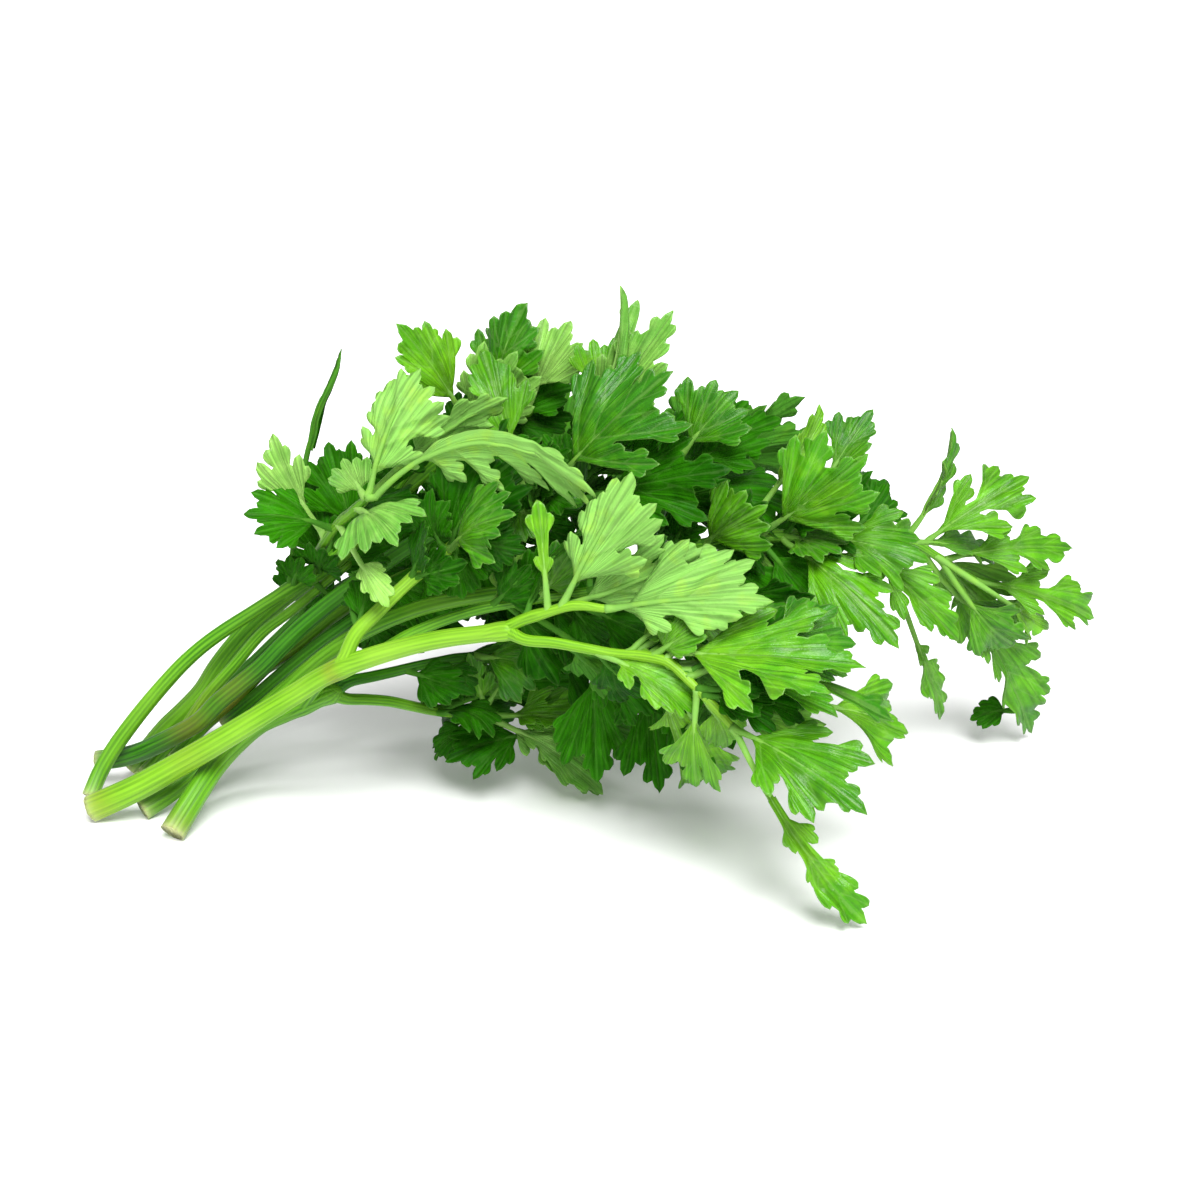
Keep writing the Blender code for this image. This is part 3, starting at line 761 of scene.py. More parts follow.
def finger(start, tip, half, bend_deg=0.0, steps=12, widest=0.74, waist=0.60):
    """A vein from start to tip and the outline round it: widest near its end, and then a blunt point."""
    chord = np.asarray(tip, float) - start
    reach = np.linalg.norm(chord)
    t = np.linspace(0, 1, steps + 1)
    angle = math.atan2(chord[1], chord[0]) + math.radians(bend_deg) * ((t[:-1] + t[1:]) / 2 - 0.5)
    way = np.column_stack([np.cos(angle), np.sin(angle)])
    vein = np.vstack([[0.0, 0.0], np.cumsum(way, axis=0)])
    vein = np.asarray(start) + vein * reach / np.linalg.norm(vein[-1])
    swelling = waist + (1 - waist) * smooth_step(t / widest)
    tapering = (1 - np.clip((t - widest) / (1 - widest), 0, 1) ** 2.0) ** 0.5
    across = unit(np.gradient(vein, axis=0))[:, ::-1] * (-1, 1)
    side = across * (half * swelling * tapering)[:, None]
    return vein, np.vstack([vein + side, (vein - side)[-2::-1]])


def at_part(vein, part):
    """The point at a part of a vein, and the direction across it."""
    k = min(max(part, 0.0), 1.0) * (len(vein) - 1)
    k0 = min(int(k), len(vein) - 2)
    step = vein[k0 + 1] - vein[k0]
    return vein[k0] + (k - k0) * step, unit(step)[::-1] * (-1, 1)

# %% A lobe with its teeth
TOOTH_HALF_MM = 1.2
TOOTH_DEPTH_MM = 1.6
TOOTH_STEP_MM = 2.7
TOOTH_SIDE_MM = 2.4
TOOTH_ANGLE_DEG = 22.0
# Teeth are larger on a longer lobe, up to a limit, and stand further apart towards its foot.
SCALE_AT_FOOT, SCALE_PER_MM, LARGEST_SCALE = 0.55, 0.032, 1.2
STEP_GROWTH_MM = 0.5
TOWARDS_TIP_MM = 0.4
# The length of a lobe that has no teeth, and what each pair takes up of the rest.
BARE_MM, PAIR_MM = 3.5, 4.0
# The part of a lobe's length before its first tooth, and how much more it is on the outer side.
FIRST_TOOTH = 0.48
OUTER_EXTRA = 0.16
# Half-widths of a lobe's own end and of a lobe without teeth, as shares of a tooth's.
TIP_HALF = 1.3
PLAIN_LOBE_HALF = 1.5


def lobe(rng, start, tip, bend_deg, most_pairs=4, outer=0):
    """A lobe as fingers, its own first and then its teeth, and the uncut flesh that joins them.

    outer is the side that looks back to the petiole, 1 or -1. It has fewer teeth.
    """
    length = np.linalg.norm(np.subtract(tip, start))
    scale = min(LARGEST_SCALE, SCALE_AT_FOOT + SCALE_PER_MM * length) * rng.uniform(0.92, 1.08)
    if not most_pairs:
        own = finger(start, tip, PLAIN_LOBE_HALF * TOOTH_HALF_MM * scale, bend_deg, widest=0.3)
        return [own], own[1]
    own = finger(start, tip, TIP_HALF * TOOTH_HALF_MM * scale, bend_deg)
    parts, flesh = [own], {1: [], -1: []}
    pairs = min(most_pairs, max(1, round((length - BARE_MM) / (PAIR_MM * scale))))
    for k in range(1, pairs + 1):
        for side in (1, -1):
            from_tip = scale * (TOOTH_STEP_MM * k + STEP_GROWTH_MM * k * k - TOWARDS_TIP_MM)
            place = length - from_tip * rng.uniform(0.88, 1.12)
            lateral = scale * TOOTH_SIDE_MM * k ** 0.6 * rng.uniform(0.85, 1.15)
            if place < (FIRST_TOOTH + (OUTER_EXTRA if side == outer else 0.0)) * length:
                continue
            centre, across = at_part(own[0], place / length)
            angle = math.radians(TOOTH_ANGLE_DEG + 2 * k)
            root, _ = at_part(own[0], max((place - lateral / math.tan(angle)) / length, 0.03))
            tooth = finger(root, centre + side * lateral * across,
                           TOOTH_HALF_MM * scale * rng.uniform(0.88, 1.08), -side * rng.uniform(8, 20))
            parts.append(tooth)
            depth = TOOTH_DEPTH_MM * scale * rng.uniform(0.8, 1.25) * (1.0 if k < 3 else 1.25)
            flesh_part = max(1 - depth / np.linalg.norm(tooth[0][-1] - root), 0.3)
            flesh[side].append(at_part(tooth[0], flesh_part)[0])
    end, _ = at_part(own[0], 1 - 1.6 * TOOTH_DEPTH_MM * scale / length)
    body = [own[0][0], *flesh[1][::-1], end, *flesh[-1]]
    return parts, np.array(body[::-1])


print("teeth on a lobe 18 mm long:", len(lobe(random.Random(1), np.zeros(2), (18.0, 0.0), 0.0)[0]) - 1)

# %% Lobe plans
# The pairs of lobes: how far along the midrib each starts, its angle off the midrib in degrees, and how
# far out it reaches as a part of the blade's half-width. Next, the part of each lobe's length that isn't
# cut free from its neighbours. Last, how much of their reach the lobes of the two sides keep: a half fan
# or a half comb stands for a blade folded along its midrib, with one side seen edge on, and only shortens
# that side's lobes.
LOBE_PLANS = {
    "full_fan": (((0.04, 42, 1.0), (0.15, 25, 0.80)), 0.52, (1.0, 1.0)),
    "cut_fan": (((0.05, 41, 1.0), (0.22, 28, 0.80)), 0.32, (1.0, 1.0)),
    "half_fan": (((0.05, 44, 1.0), (0.22, 33, 0.95), (0.42, 28, 0.70)), 0.44, (0.45, 1.0)),
    "trident": (((0.06, 33, 1.0), (0.42, 30, 0.62)), 0.26, (1.0, 1.0)),
    "fingers": (((0.08, 30, 1.0),), 0.16, (1.0, 1.0)),
    "sprig": (((0.12, 30, 0.64), (0.42, 27, 0.54)), 0.22, (1.0, 1.0)),
    "upper_fan": (((0.05, 44, 1.0), (0.22, 33, 0.95), (0.42, 28, 0.70)), 0.44, (1.0, 0.5)),
    "slim": (((0.30, 22, 0.50), (0.52, 20, 0.50)), 0.24, (0.8, 1.0)),
    "narrow": (((0.10, 24, 0.55),), 0.50, (1.0, 1.0)),
    "sliver": ((), 0.30, (1.0, 1.0)),
    "feather": (((0.06, 42, 0.80), (0.25, 38, 1.0), (0.44, 34, 0.86), (0.62, 29, 0.60)), 0.28, (1.0, 1.0)),
    "full_comb": (((0.06, 48, 0.85), (0.24, 43, 1.0), (0.43, 37, 0.86), (0.60, 31, 0.62)), 0.50, (0.50, 1.0)),
    "half_comb": (((0.05, 60, 0.86), (0.20, 54, 1.0), (0.36, 47, 1.0), (0.52, 40, 0.92), (0.67, 33, 0.70)),
                  0.34, (0.22, 1.0)),
}


# The midrib's reach as a part of the blade's length, its half-width as a part of the blade's, and where
# along the midrib the end lobe starts.
MIDRIB_REACH, MIDRIB_HALF, END_LOBE_START = 0.9, 0.06, 0.16
# A lobe whose side keeps less than this of its reach is only a web of flesh.
LEAST_KEPT = 0.4


def blade_fingers(rng, size, half, plan):
    """Every finger of a blade from 0, 0 to size, 0, lobe by lobe, and the pieces of flesh that join them."""
    pairs, uncut, sides_kept = LOBE_PLANS[plan]
    midrib = finger((0.0, 0.0), (MIDRIB_REACH * size, 0.0), MIDRIB_HALF * half)
    fan = plan.endswith("fan")
    main, body = lobe(rng, np.array((END_LOBE_START * size, 0.0)), (size, rng.uniform(-0.03, 0.03) * size),
                      rng.uniform(-8, 8), 3 if fan else min(2, len(pairs)))
    groups, bodies = [main], [body]
    web = {1: [], -1: []}
    for place, angle, reach in pairs:
        for side, kept in zip((1, -1), sides_kept):
            own_angle = math.radians(angle * rng.uniform(0.9, 1.1)) * kept ** 0.4
            length = min(kept * reach * half * rng.uniform(0.88, 1.06) / math.sin(own_angle),
                         0.95 * size * (1 - place))
            x = max(size * (place + rng.uniform(-0.02, 0.02)), 0.2)
            tip = (x + length * math.cos(own_angle), side * length * math.sin(own_angle))
            if kept < LEAST_KEPT:
                web[side].append((0.5 * (x + tip[0]), tip[1]))
                continue
            parts, body = lobe(rng, np.array((x, 0.0)), tip, -side * rng.uniform(6, 20), outer=side)
            groups.append(parts)
            bodies.append(body)
            web[side].append(at_part(parts[0][0], uncut * rng.uniform(0.9, 1.1))[0])
    reach = size * (END_LOBE_START + (1 - END_LOBE_START) * min(0.9, uncut + 0.06))
    bodies.append(np.array([(0.0, -0.6), *web[-1], (reach, 0.0), *web[1][::-1], (0.0, 0.6)]))
    return midrib, groups, bodies


# A trial blade, 26 mm long, shows what each of the next helpers makes.
_, trial_lobes, trial_bodies = blade_fingers(random.Random(1), 26.0, 11.0, "full_fan")
print("lobes of the trial blade:", len(trial_lobes), "with teeth:", [len(parts) - 1 for parts in trial_lobes])

# %% One outline from many fingers
EDGE_STEP_MM = 0.6


def joined_outline(outlines):
    """The outer loop round a set of overlapping outlines."""
    corners = [Vector(p) for outline in outlines for p in outline.tolist()]
    faces, first = [], 0
    for outline in outlines:
        faces.append(list(range(first, first + len(outline))))
        first += len(outline)
    points, _, triangles = delaunay_2d_cdt(corners, [], faces, 1, 1e-4)[:3]
    ahead = {}
    used = Counter(edge for t in triangles for edge in zip(t, t[1:] + t[:1]))
    for a, b in used:
        if (b, a) not in used:
            ahead.setdefault(a, []).append(b)
    loops = []
    while ahead:
        here = next(iter(ahead))
        loop = []
        while here in ahead:
            loop.append(here)
            following = ahead[here].pop()
            if not ahead[here]:
                del ahead[here]
            here = following
        loops.append(loop)
    longest = max(loops, key=lambda loop: sum((points[a] - points[b]).length for a, b in zip(loop, loop[1:])))
    return even_edges(np.array([points[k] for k in longest]))


def even_edges(loop):
    """A closed loop with close points dropped and long edges divided."""
    kept = [loop[0]]
    for point in loop[1:]:
        if np.linalg.norm(point - kept[-1]) > 0.45 * EDGE_STEP_MM:
            kept.append(point)
    fine = []
    for a, b in zip(kept, kept[1:] + kept[:1]):
        count = max(1, round(np.linalg.norm(b - a) / EDGE_STEP_MM))
        fine += [a + (b - a) * i / count for i in range(count)]
    return np.array(fine)


trial_loop = joined_outline(trial_bodies + [outline for parts in trial_lobes for _, outline in parts])
print("points round the trial blade:", len(trial_loop))

# %% Distances in the flat blade
def gaps_to(points, starts, ends):
    """The distance from each point to each straight piece, and the part of the piece where it is nearest."""
    pieces = ends - starts
    offset = points[:, None] - starts[None]
    part = np.clip((offset * pieces).sum(axis=2) / np.maximum((pieces ** 2).sum(axis=1), 1e-9), 0, 1)
    return np.linalg.norm(offset - part[:, :, None] * pieces[None], axis=2), part


def nearest_gap(points, pieces):
    """The distance from each point to the nearest of some straight pieces."""
    return gaps_to(points, *pieces)[0].min(axis=1)


def pieces_of(veins):
    """The straight pieces of some veins, as starts and ends."""
    return np.vstack([vein[:-1] for vein in veins]), np.vstack([vein[1:] for vein in veins])


def sides_of(loop):
    """The straight pieces of a closed loop, as starts and ends."""
    return loop, np.roll(loop, -1, axis=0)


def inside(points, loop):
    """Which points lie inside a closed loop."""
    a, b = sides_of(loop)
    crosses = (a[None, :, 1] > points[:, None, 1]) != (b[None, :, 1] > points[:, None, 1])
    rise = np.where(abs(b[:, 1] - a[:, 1]) < 1e-9, 1e-9, b[:, 1] - a[:, 1])
    where = a[None, :, 0] + (points[:, None, 1] - a[None, :, 1]) / rise[None] * (b - a)[None, :, 0]
    return (crosses & (points[:, None, 0] < where)).sum(axis=1) % 2 == 1


trial_veins = pieces_of([parts[0][0] for parts in trial_lobes])
print("its edge is up to", round(nearest_gap(trial_loop, trial_veins).max(), 1), "mm from a lobe's own vein")

# %% Side veins
SIDE_VEIN_GAP_MM = 2.3
SIDE_VEIN_ANGLE_DEG = 32.0
SIDE_VEIN_REACH = 0.85
SIDE_VEIN_EXTRA_MM = 0.6
# How much of a lobe's own vein carries no side veins at its foot and at its tip.
BARE_FOOT_MM, BARE_TIP_MM = 0.8, 1.0


def side_veins(rng, groups):
    """Short straight veins that leave each lobe's own vein at a low angle, as starts and ends."""
    starts, ends = [], []
    for lobe_vein, outline in (group[0] for group in groups):
        along = lengths_along(lobe_vein)
        width = np.linalg.norm(outline[:len(lobe_vein)] - lobe_vein, axis=1)
        for place in np.arange(BARE_FOOT_MM, along[-1] - BARE_TIP_MM, SIDE_VEIN_GAP_MM):
            root = point_at(lobe_vein, along, place)
            way = lobe_vein[min(int(place / along[-1] * len(lobe_vein)) + 1, len(lobe_vein) - 1)] - root
            slant = math.sin(math.radians(SIDE_VEIN_ANGLE_DEG))
            reach = SIDE_VEIN_REACH * np.interp(place, along, width) / slant + SIDE_VEIN_EXTRA_MM
            for side in (1, -1):
                turn = math.radians(SIDE_VEIN_ANGLE_DEG * rng.uniform(0.85, 1.2))
                angle = math.atan2(way[1], way[0]) + side * turn
                starts.append(root)
                ends.append(root + reach * np.array([math.cos(angle), math.sin(angle)]))
    return np.array(starts), np.array(ends)


print("side veins of the trial blade:", len(side_veins(random.Random(1), trial_lobes)[0]))

# %% [markdown]
# ## Surface of a blade
# The outline is filled with points about two thirds of a millimetre apart, with rows of them on the
# veins of the lobes and the teeth, so that those veins lie on mesh edges and stay crisp. Then the flat
# blade is given its relief: the flesh is puffed up between sunken veins, each lobe is a shallow trough
# that lifts or droops at its end, and the flesh away from the veins ripples. The last step lays it on
# the bent surface of the plain blade and gives it two skins: the real thickness, thinner at the edge,
# with the veins standing out on the underside.

# %% Fill an outline with triangles
FLESH_STEP_MM = 0.66


def along_pieces(starts, ends):
    """Evenly spaced points on straight pieces."""
    found = []
    for a, b in zip(starts, ends):
        count = max(2, round(np.linalg.norm(b - a) / FLESH_STEP_MM))
        found += [a + (b - a) * (i + 0.5) / count for i in range(count)]
    return np.array(found)


def thinned(points, gap):
    """The points, without those closer than the gap to an earlier one."""
    kept, cells = [], {}
    for x, y in points.tolist():
        column, row = math.floor(x / gap), math.floor(y / gap)
        near = [q for dx in (-1, 0, 1) for dy in (-1, 0, 1) for q in cells.get((column + dx, row + dy), ())]
        if all((q[0] - x) ** 2 + (q[1] - y) ** 2 > gap ** 2 for q in near):
            kept.append((x, y))
            cells.setdefault((column, row), []).append((x, y))
    return np.array(kept)


def filled(loop, on_veins):
    """Points and triangles that fill a loop, with the given points among them."""
    low, high = loop.min(axis=0), loop.max(axis=0)
    row = FLESH_STEP_MM * math.sqrt(3) / 2
    grid = [(x + (j % 2) * 0.5 * FLESH_STEP_MM, y) for j, y in enumerate(np.arange(low[1], high[1], row))
            for x in np.arange(low[0], high[0], FLESH_STEP_MM)]
    inner = thinned(np.vstack([on_veins, grid]), 0.55 * FLESH_STEP_MM)
    inner = inner[inside(inner, loop)]
    inner = inner[nearest_gap(inner, sides_of(loop)) > 0.45 * FLESH_STEP_MM]
    corners = [Vector(p) for p in np.vstack([loop, inner]).tolist()]
    ring = [(k, (k + 1) % len(loop)) for k in range(len(loop))]
    points, _, triangles = delaunay_2d_cdt(corners, ring, [], 1, 1e-4)[:3]
    used = sorted({k for t in triangles for k in t})
    place = {k: i for i, k in enumerate(used)}
    return np.array([points[k] for k in used]), [tuple(place[k] for k in t) for t in triangles]


trial_flat, trial_triangles = filled(trial_loop, along_pieces(*trial_veins))
print("the trial blade takes", len(trial_flat), "points and", len(trial_triangles), "triangles on each skin")

# %% Relief of a blade
PUFF_MM, PUFF_REACH_MM = 0.26, 1.5
TROUGH_SLOPE, TROUGH_REACH_MM = 0.20, 5.0
RIPPLE_MM = 0.7
# Where the fine strands of a blade would meet: this far behind its foot.
FAN_SHIFT_MM = 3.0
VEIN_RIDGE_MM = 0.24


def lobe_lifts(rng, flat, lobe_veins, gaps, on_piece):
    """How far each lobe lifts or droops towards its end. A point follows the lobes that it is nearest to."""
    steps = len(lobe_veins[0]) - 1
    shares, lifts = [], []
    for k, vein in enumerate(lobe_veins):
        own = gaps[:, k * steps:(k + 1) * steps]
        nearest = own.argmin(axis=1)
        place = (nearest + on_piece[np.arange(len(flat)), k * steps + nearest]) / steps
        length = np.linalg.norm(vein[-1] - vein[0])
        lift = length * (rng.uniform(-0.32, 0.16) if k else rng.uniform(-0.12, 0.08))
        shares.append(np.exp(-own.min(axis=1)) + 1e-9)
        lifts.append(lift * smooth_step(place) ** 1.5)
    shares = np.array(shares)
    return (shares * np.array(lifts)).sum(axis=0) / shares.sum(axis=0)


def blade_relief(rng, flat, loop, lobe_veins, main, teeth, sides):
    """Height of the flesh, distances to the veins and to the edge, and the directions of the strands."""
    gaps, on_piece = gaps_to(flat, *main)
    to_main, to_tooth = gaps.min(axis=1), nearest_gap(flat, teeth)
    lift = lobe_lifts(rng, flat, lobe_veins, gaps, on_piece)
    puff = PUFF_MM * (1 - np.exp(-(np.minimum(to_main, 1.15 * to_tooth) / PUFF_REACH_MM) ** 2))
    trough = TROUGH_SLOPE * np.minimum(to_main, TROUGH_REACH_MM)
    seed = rng.uniform(0, 100)
    ripple = np.array([noise.noise(Vector((0.10 * x, 0.10 * y, seed))) * 1.6
                       + noise.noise(Vector((0.28 * x, 0.28 * y, seed + 9))) * 0.5 for x, y in flat.tolist()])
    height = lift + puff + trough + RIPPLE_MM * ripple * (0.4 + 0.6 * smooth_step(to_main / 4.0))
    return {"height": height, "main_vein": to_main, "side_vein": to_tooth,
            "small_vein": nearest_gap(flat, sides), "edge": nearest_gap(flat, sides_of(loop)),
            "fan": np.arctan2(flat[:, 1], flat[:, 0] + FAN_SHIFT_MM),
            "out": np.linalg.norm(flat, axis=1) / flat[:, 0].max()}

# %% Two skins on a bent surface
SKIN_GAP_MM = 0.28
EDGE_GAP_MM, EDGE_REACH_MM = 0.12, 1.0
# Half-widths of the ridges under the main and the side veins, and how high a side vein's is beside a main.
MAIN_RIDGE_MM, SIDE_RIDGE_MM, SIDE_RIDGE_SHARE = 0.4, 0.5, 0.2


def surface_normals(blade, x, y):
    """Directions square to a blade's bent middle surface, on its upper side."""
    step = 0.2
    ahead = on_blade(blade, x + step, y) - on_blade(blade, x - step, y)
    beside = on_blade(blade, x, y + step) - on_blade(blade, x, y - step)
    normals = unit(np.cross(beside, ahead))
    return np.where((normals @ blade["up"])[:, None] < 0, -normals, normals)


def two_skins(blade, flat, triangles, relief, tint):
    """The points, faces and attributes of a thin closed blade."""
    x, y = flat[:, 0] + blade["petiole"], flat[:, 1]
    middle, normals = on_blade(blade, x, y), surface_normals(blade, x, y)
    gap = EDGE_GAP_MM + (SKIN_GAP_MM - EDGE_GAP_MM) * smooth_step(relief["edge"] / EDGE_REACH_MM)
    ridge = VEIN_RIDGE_MM * (np.exp(-(relief["main_vein"] / MAIN_RIDGE_MM) ** 2)
                             + SIDE_RIDGE_SHARE * np.exp(-(relief["side_vein"] / SIDE_RIDGE_MM) ** 2))
    top = middle + normals * (relief["height"] + 0.5 * gap)[:, None]
    low = middle + normals * (relief["height"] - 0.5 * gap - ridge)[:, None]
    count = len(flat)
    a, b, c = (top[k] for k in triangles[0])
    if np.cross(b - a, c - a) @ normals[triangles[0][0]] < 0:
        triangles = [t[::-1] for t in triangles]
    faces = list(triangles) + [(a + count, c + count, b + count) for a, b, c in triangles]
    edges = {edge for t in triangles for edge in zip(t, t[1:] + t[:1])}
    faces += [(b, a, a + count, b + count) for a, b in edges if (b, a) not in edges]
    values = {key: value for key, value in relief.items() if key != "height"}
    values["blade_mm"] = np.column_stack([x, y, np.full(count, tint * 40.0)])
    values["tint"] = np.full(count, tint)
    values = {key: np.concatenate([value, value]) for key, value in values.items()}
    values["upper"] = np.repeat([1.0, 0.0], count)
    return np.vstack([top, low]), faces, values

# %% Petiole and midrib
PETIOLE_RADIUS_MM = 0.85
MIDRIB_END_RADIUS_MM = 0.16
MIDRIB_PART = 0.72
NEAR_MIDRIB_MM = 0.6
# How much thicker a petiole is in its stem and thinner at its blade, and how deep it lies under the
# flesh there, in radii.
FOOT_THICKER, BLADE_THINNER, SUNK = 1.25, 0.25, 0.7
TUBE_SIDES = 10
TUBE_END = ((0.8, 0.25), (0.4, 0.4))


def petiole_tube(blade, start, height_at):
    """A tube from the middle of the parent stem, along the petiole and on under the blade's midrib."""
    petiole = blade["petiole"]
    reach = petiole + MIDRIB_PART * (blade["length"] - petiole)
    x = np.arange(0.0, reach, 1.0)
    across = np.zeros(len(x))
    share = np.clip((x - petiole) / (reach - petiole), 0, 1)
    radii = ((1 - BLADE_THINNER * np.minimum(x / petiole, 1.0)) * PETIOLE_RADIUS_MM * (1 - share) ** 0.7
             + MIDRIB_END_RADIUS_MM * share ** 0.5)
    rise = np.interp(x - petiole, *height_at, left=0.0) * smooth_step((x - petiole) / 2.0)
    rise = rise - SUNK * radii * smooth_step((x - petiole) / 3.0)
    under = on_blade(blade, x, across) + surface_normals(blade, x, across) * rise[:, None]
    radii = np.concatenate([[FOOT_THICKER * PETIOLE_RADIUS_MM], radii])
    line, radii, along = smooth_tube(np.vstack([start, under]), radii, LINE_SPACING_MM)
    way = unit(line[-1] - line[-2])
    line = np.vstack([line, [line[-1] + way * radii[-1] * rise for _, rise in TUBE_END]])
    radii = np.concatenate([radii, [radii[-1] * share for share, _ in TUBE_END]])
    along = np.concatenate([along, [along[-1]] * len(TUBE_END)])
    points, faces = swept(line, np.tile(radii[:, None], (1, TUBE_SIDES)), TUBE_SIDES)
    return points, faces, np.repeat(along, TUBE_SIDES)

# %% One leaf
def grow_leaf(name, blade, start, material, tint, plan):
    """A lobed, toothed, veined blade on its petiole, as one piece."""
    rng = random.Random(seed_of(name))
    midrib, groups, bodies = blade_fingers(rng, blade["length"] - blade["petiole"], blade["half"], plan)
    loop = joined_outline([*bodies, midrib[1]] + [part[1] for group in groups for part in group])
    sides = side_veins(rng, groups)
    lobe_veins = [group[0][0] for group in groups]
    main = pieces_of(lobe_veins + [midrib[0]])
    teeth = pieces_of([part[0] for group in groups for part in group[1:]] or [midrib[0]])
    flat, triangles = filled(loop, np.vstack([along_pieces(*main), along_pieces(*teeth)]))
    relief = blade_relief(rng, flat, loop, lobe_veins, main, teeth, sides)
    points, faces, values = two_skins(blade, flat, triangles, relief, tint)

    near_midrib = np.flatnonzero(abs(flat[:, 1]) < NEAR_MIDRIB_MM)
    order = near_midrib[np.argsort(flat[near_midrib, 0])]
    tube_points, tube_faces, along = petiole_tube(blade, start, (flat[order, 0], relief["height"][order]))
    first, more = len(points), len(tube_points)
    faces += [tuple(first + k for k in face) for face in tube_faces]
    tube_values = {key: np.zeros(more) for key in values}
    tube_values |= {"blade_mm": np.column_stack([along, np.zeros(more), np.full(more, 3.0)]),
                    "edge": np.ones(more), "tint": np.full(more, tint), "upper": np.full(more, 0.3)}
    values = {key: np.concatenate([value, tube_values[key]]) for key, value in values.items()}
    piece = grown_object(name, np.vstack([points, tube_points]), faces, values, material)
    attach(piece, "root")
    return piece

# %% [markdown]
# ## Grow everything
# Each leaf takes one of five blade materials, and a tint from 0, full grown, to 1, young and yellow.
# Leaves that share a petiole in the plain model keep its place; the rest of the crowd is added here.

# %% Parents
CUT_ENDS_X_MM = -88.0
parents = {}
for name in stem_names:
    start, second = tubes[name][0][:2]
    if start[0] > CUT_ENDS_X_MM:
        stem = nearest_stem(start, leave_out=name)[0]
        parents[name] = stem, *root_on(stem, start, unit(second - start))
for name, blade in blades.items():
    stem = nearest_stem(blade["base"])[0]
    ahead = on_blade(blade, np.array([2.0]), np.array([0.0]))[0]
    parents[name] = stem, *root_on(stem, blade["base"], unit(ahead - blade["base"]))
print("stems and leaves with a parent:", len(parents))

# %% Stalks and branches
def triangles_in(piece):
    """How many triangles a piece has."""
    return sum(len(face.vertices) - 2 for face in piece.data.polygons)


stalk_pieces = [grow_stem(name, is_cut=name not in parents) for name in stem_names]
print("stalks:", sum(map(triangles_in, stalk_pieces)), "triangles")

# %% Looks of the leaves
# Material, tint and lobe plan of each leaf that differs from its neighbours.
LOOKS = """
spray_leaf_small young 0.50 fingers
spray_leaf_hanging young 0.40 slim
spray_leaf_broad young 0.30 cut_fan
spray_leaf_right young 0.15 upper_fan
spray_leaf_upright young 0.30 half_fan
spray_leaf_low grown 0.50 full_fan
spray_leaf_far grown 0.40 fingers
spray_leaf_behind young 0.20 cut_fan
heart_leaf_arched young 0.40 half_comb
heart_leaf_narrow young 0.50 half_fan
heart_leaf_tall young 0.60 full_comb
heart_leaf_fan pale 0.05 cut_fan
heart_leaf_low grown 0.30 trident
heart_leaf_matte grown 0.00 cut_fan
heart_leaf_dark deep 0.50 full_fan
crown_leaf_left young 0.50 trident
crown_leaf_upright grown 0.10 trident
crown_leaf_middle pale 0.60 full_fan
crown_leaf_bright young 0.50 full_fan
crown_leaf_thin pale 0.10 sliver
left_leaf_edge deep 0.60 sliver
left_leaf_pale pale 0.70 narrow
left_leaf_bright deep 1.00 full_fan
upper_leaf_near grown 0.20 full_fan
upper_leaf_far deep 0.80 full_fan
right_leaf_glowing young 0.15 full_fan
right_leaf_middle grown 0.50 full_fan
right_leaf_lower grown 0.60 cut_fan
right_leaf_long grown 0.60 trident
end_leaf_thin grown 0.50 trident
end_leaf_upper grown 0.80 sprig
end_leaf_middle grown 0.70 sprig
end_leaf_outer grown 0.80 sprig
end_leaf_hanging grown 0.50 half_fan
low_leaf_right pale 0.00 feather
low_leaf_left deep 0.60 half_fan
low_leaf_dark grown 0.30 half_fan
dark_leaf_upright grown 0.10 trident
"""
# Leaves with no look of their own take the deep blade: painted shade for leaves inside the bunch.
SHADED_LOOK = ("deep", 0.45, "full_fan")
look_of = {name: look for name, *look in map(str.split, LOOKS.split("\n")[1:-1])}
print("leaves with a look of their own:", len(look_of))

# %% Leaves on the plain blades
leaf_pieces = []
for name, blade in blades.items():
    kind, tint, plan = look_of.get(name, SHADED_LOOK)
    piece = grow_leaf(name + "_grown", blade, parents[name][1], BLADES[kind],
                      float(tint), plan)
    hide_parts(name)
    leaf_pieces.append(piece)
print("leaves:", sum(map(triangles_in, leaf_pieces)), "triangles")

# %% [markdown]
# ## Fill the crowd
# A bunch this size carries some hundreds of small blades, and most show only as layers behind others.
# The ones that show are listed one by one, each as a step from a place on its stalk to its tip. The rest find
# their own room: a tip is tried at random in the crowded parts of the bunch, and the blade stays if it
# touches nothing that has grown before it.

# %% Free room
CLEARANCE_MM = 0.5
# Blades stay this far inside the plain model's box, from its low corner and from its high one.
LOW_MARGIN_MM, HIGH_MARGIN_MM = (1, 1, 0.6), (1, 1, 1)
SHEET_ROWS, ROW_STEPS = 8, 4


def surface_tree(piece):
    """A search tree of a piece's surface, in millimetres."""
    corners = [Vector(p) for p in points_of(piece.data).tolist()]
    return BVHTree.FromPolygons(corners, [tuple(face.vertices) for face in piece.data.polygons])


taken = [surface_tree(piece) for piece in stalk_pieces + leaf_pieces]
print("pieces whose room is taken:", len(taken))


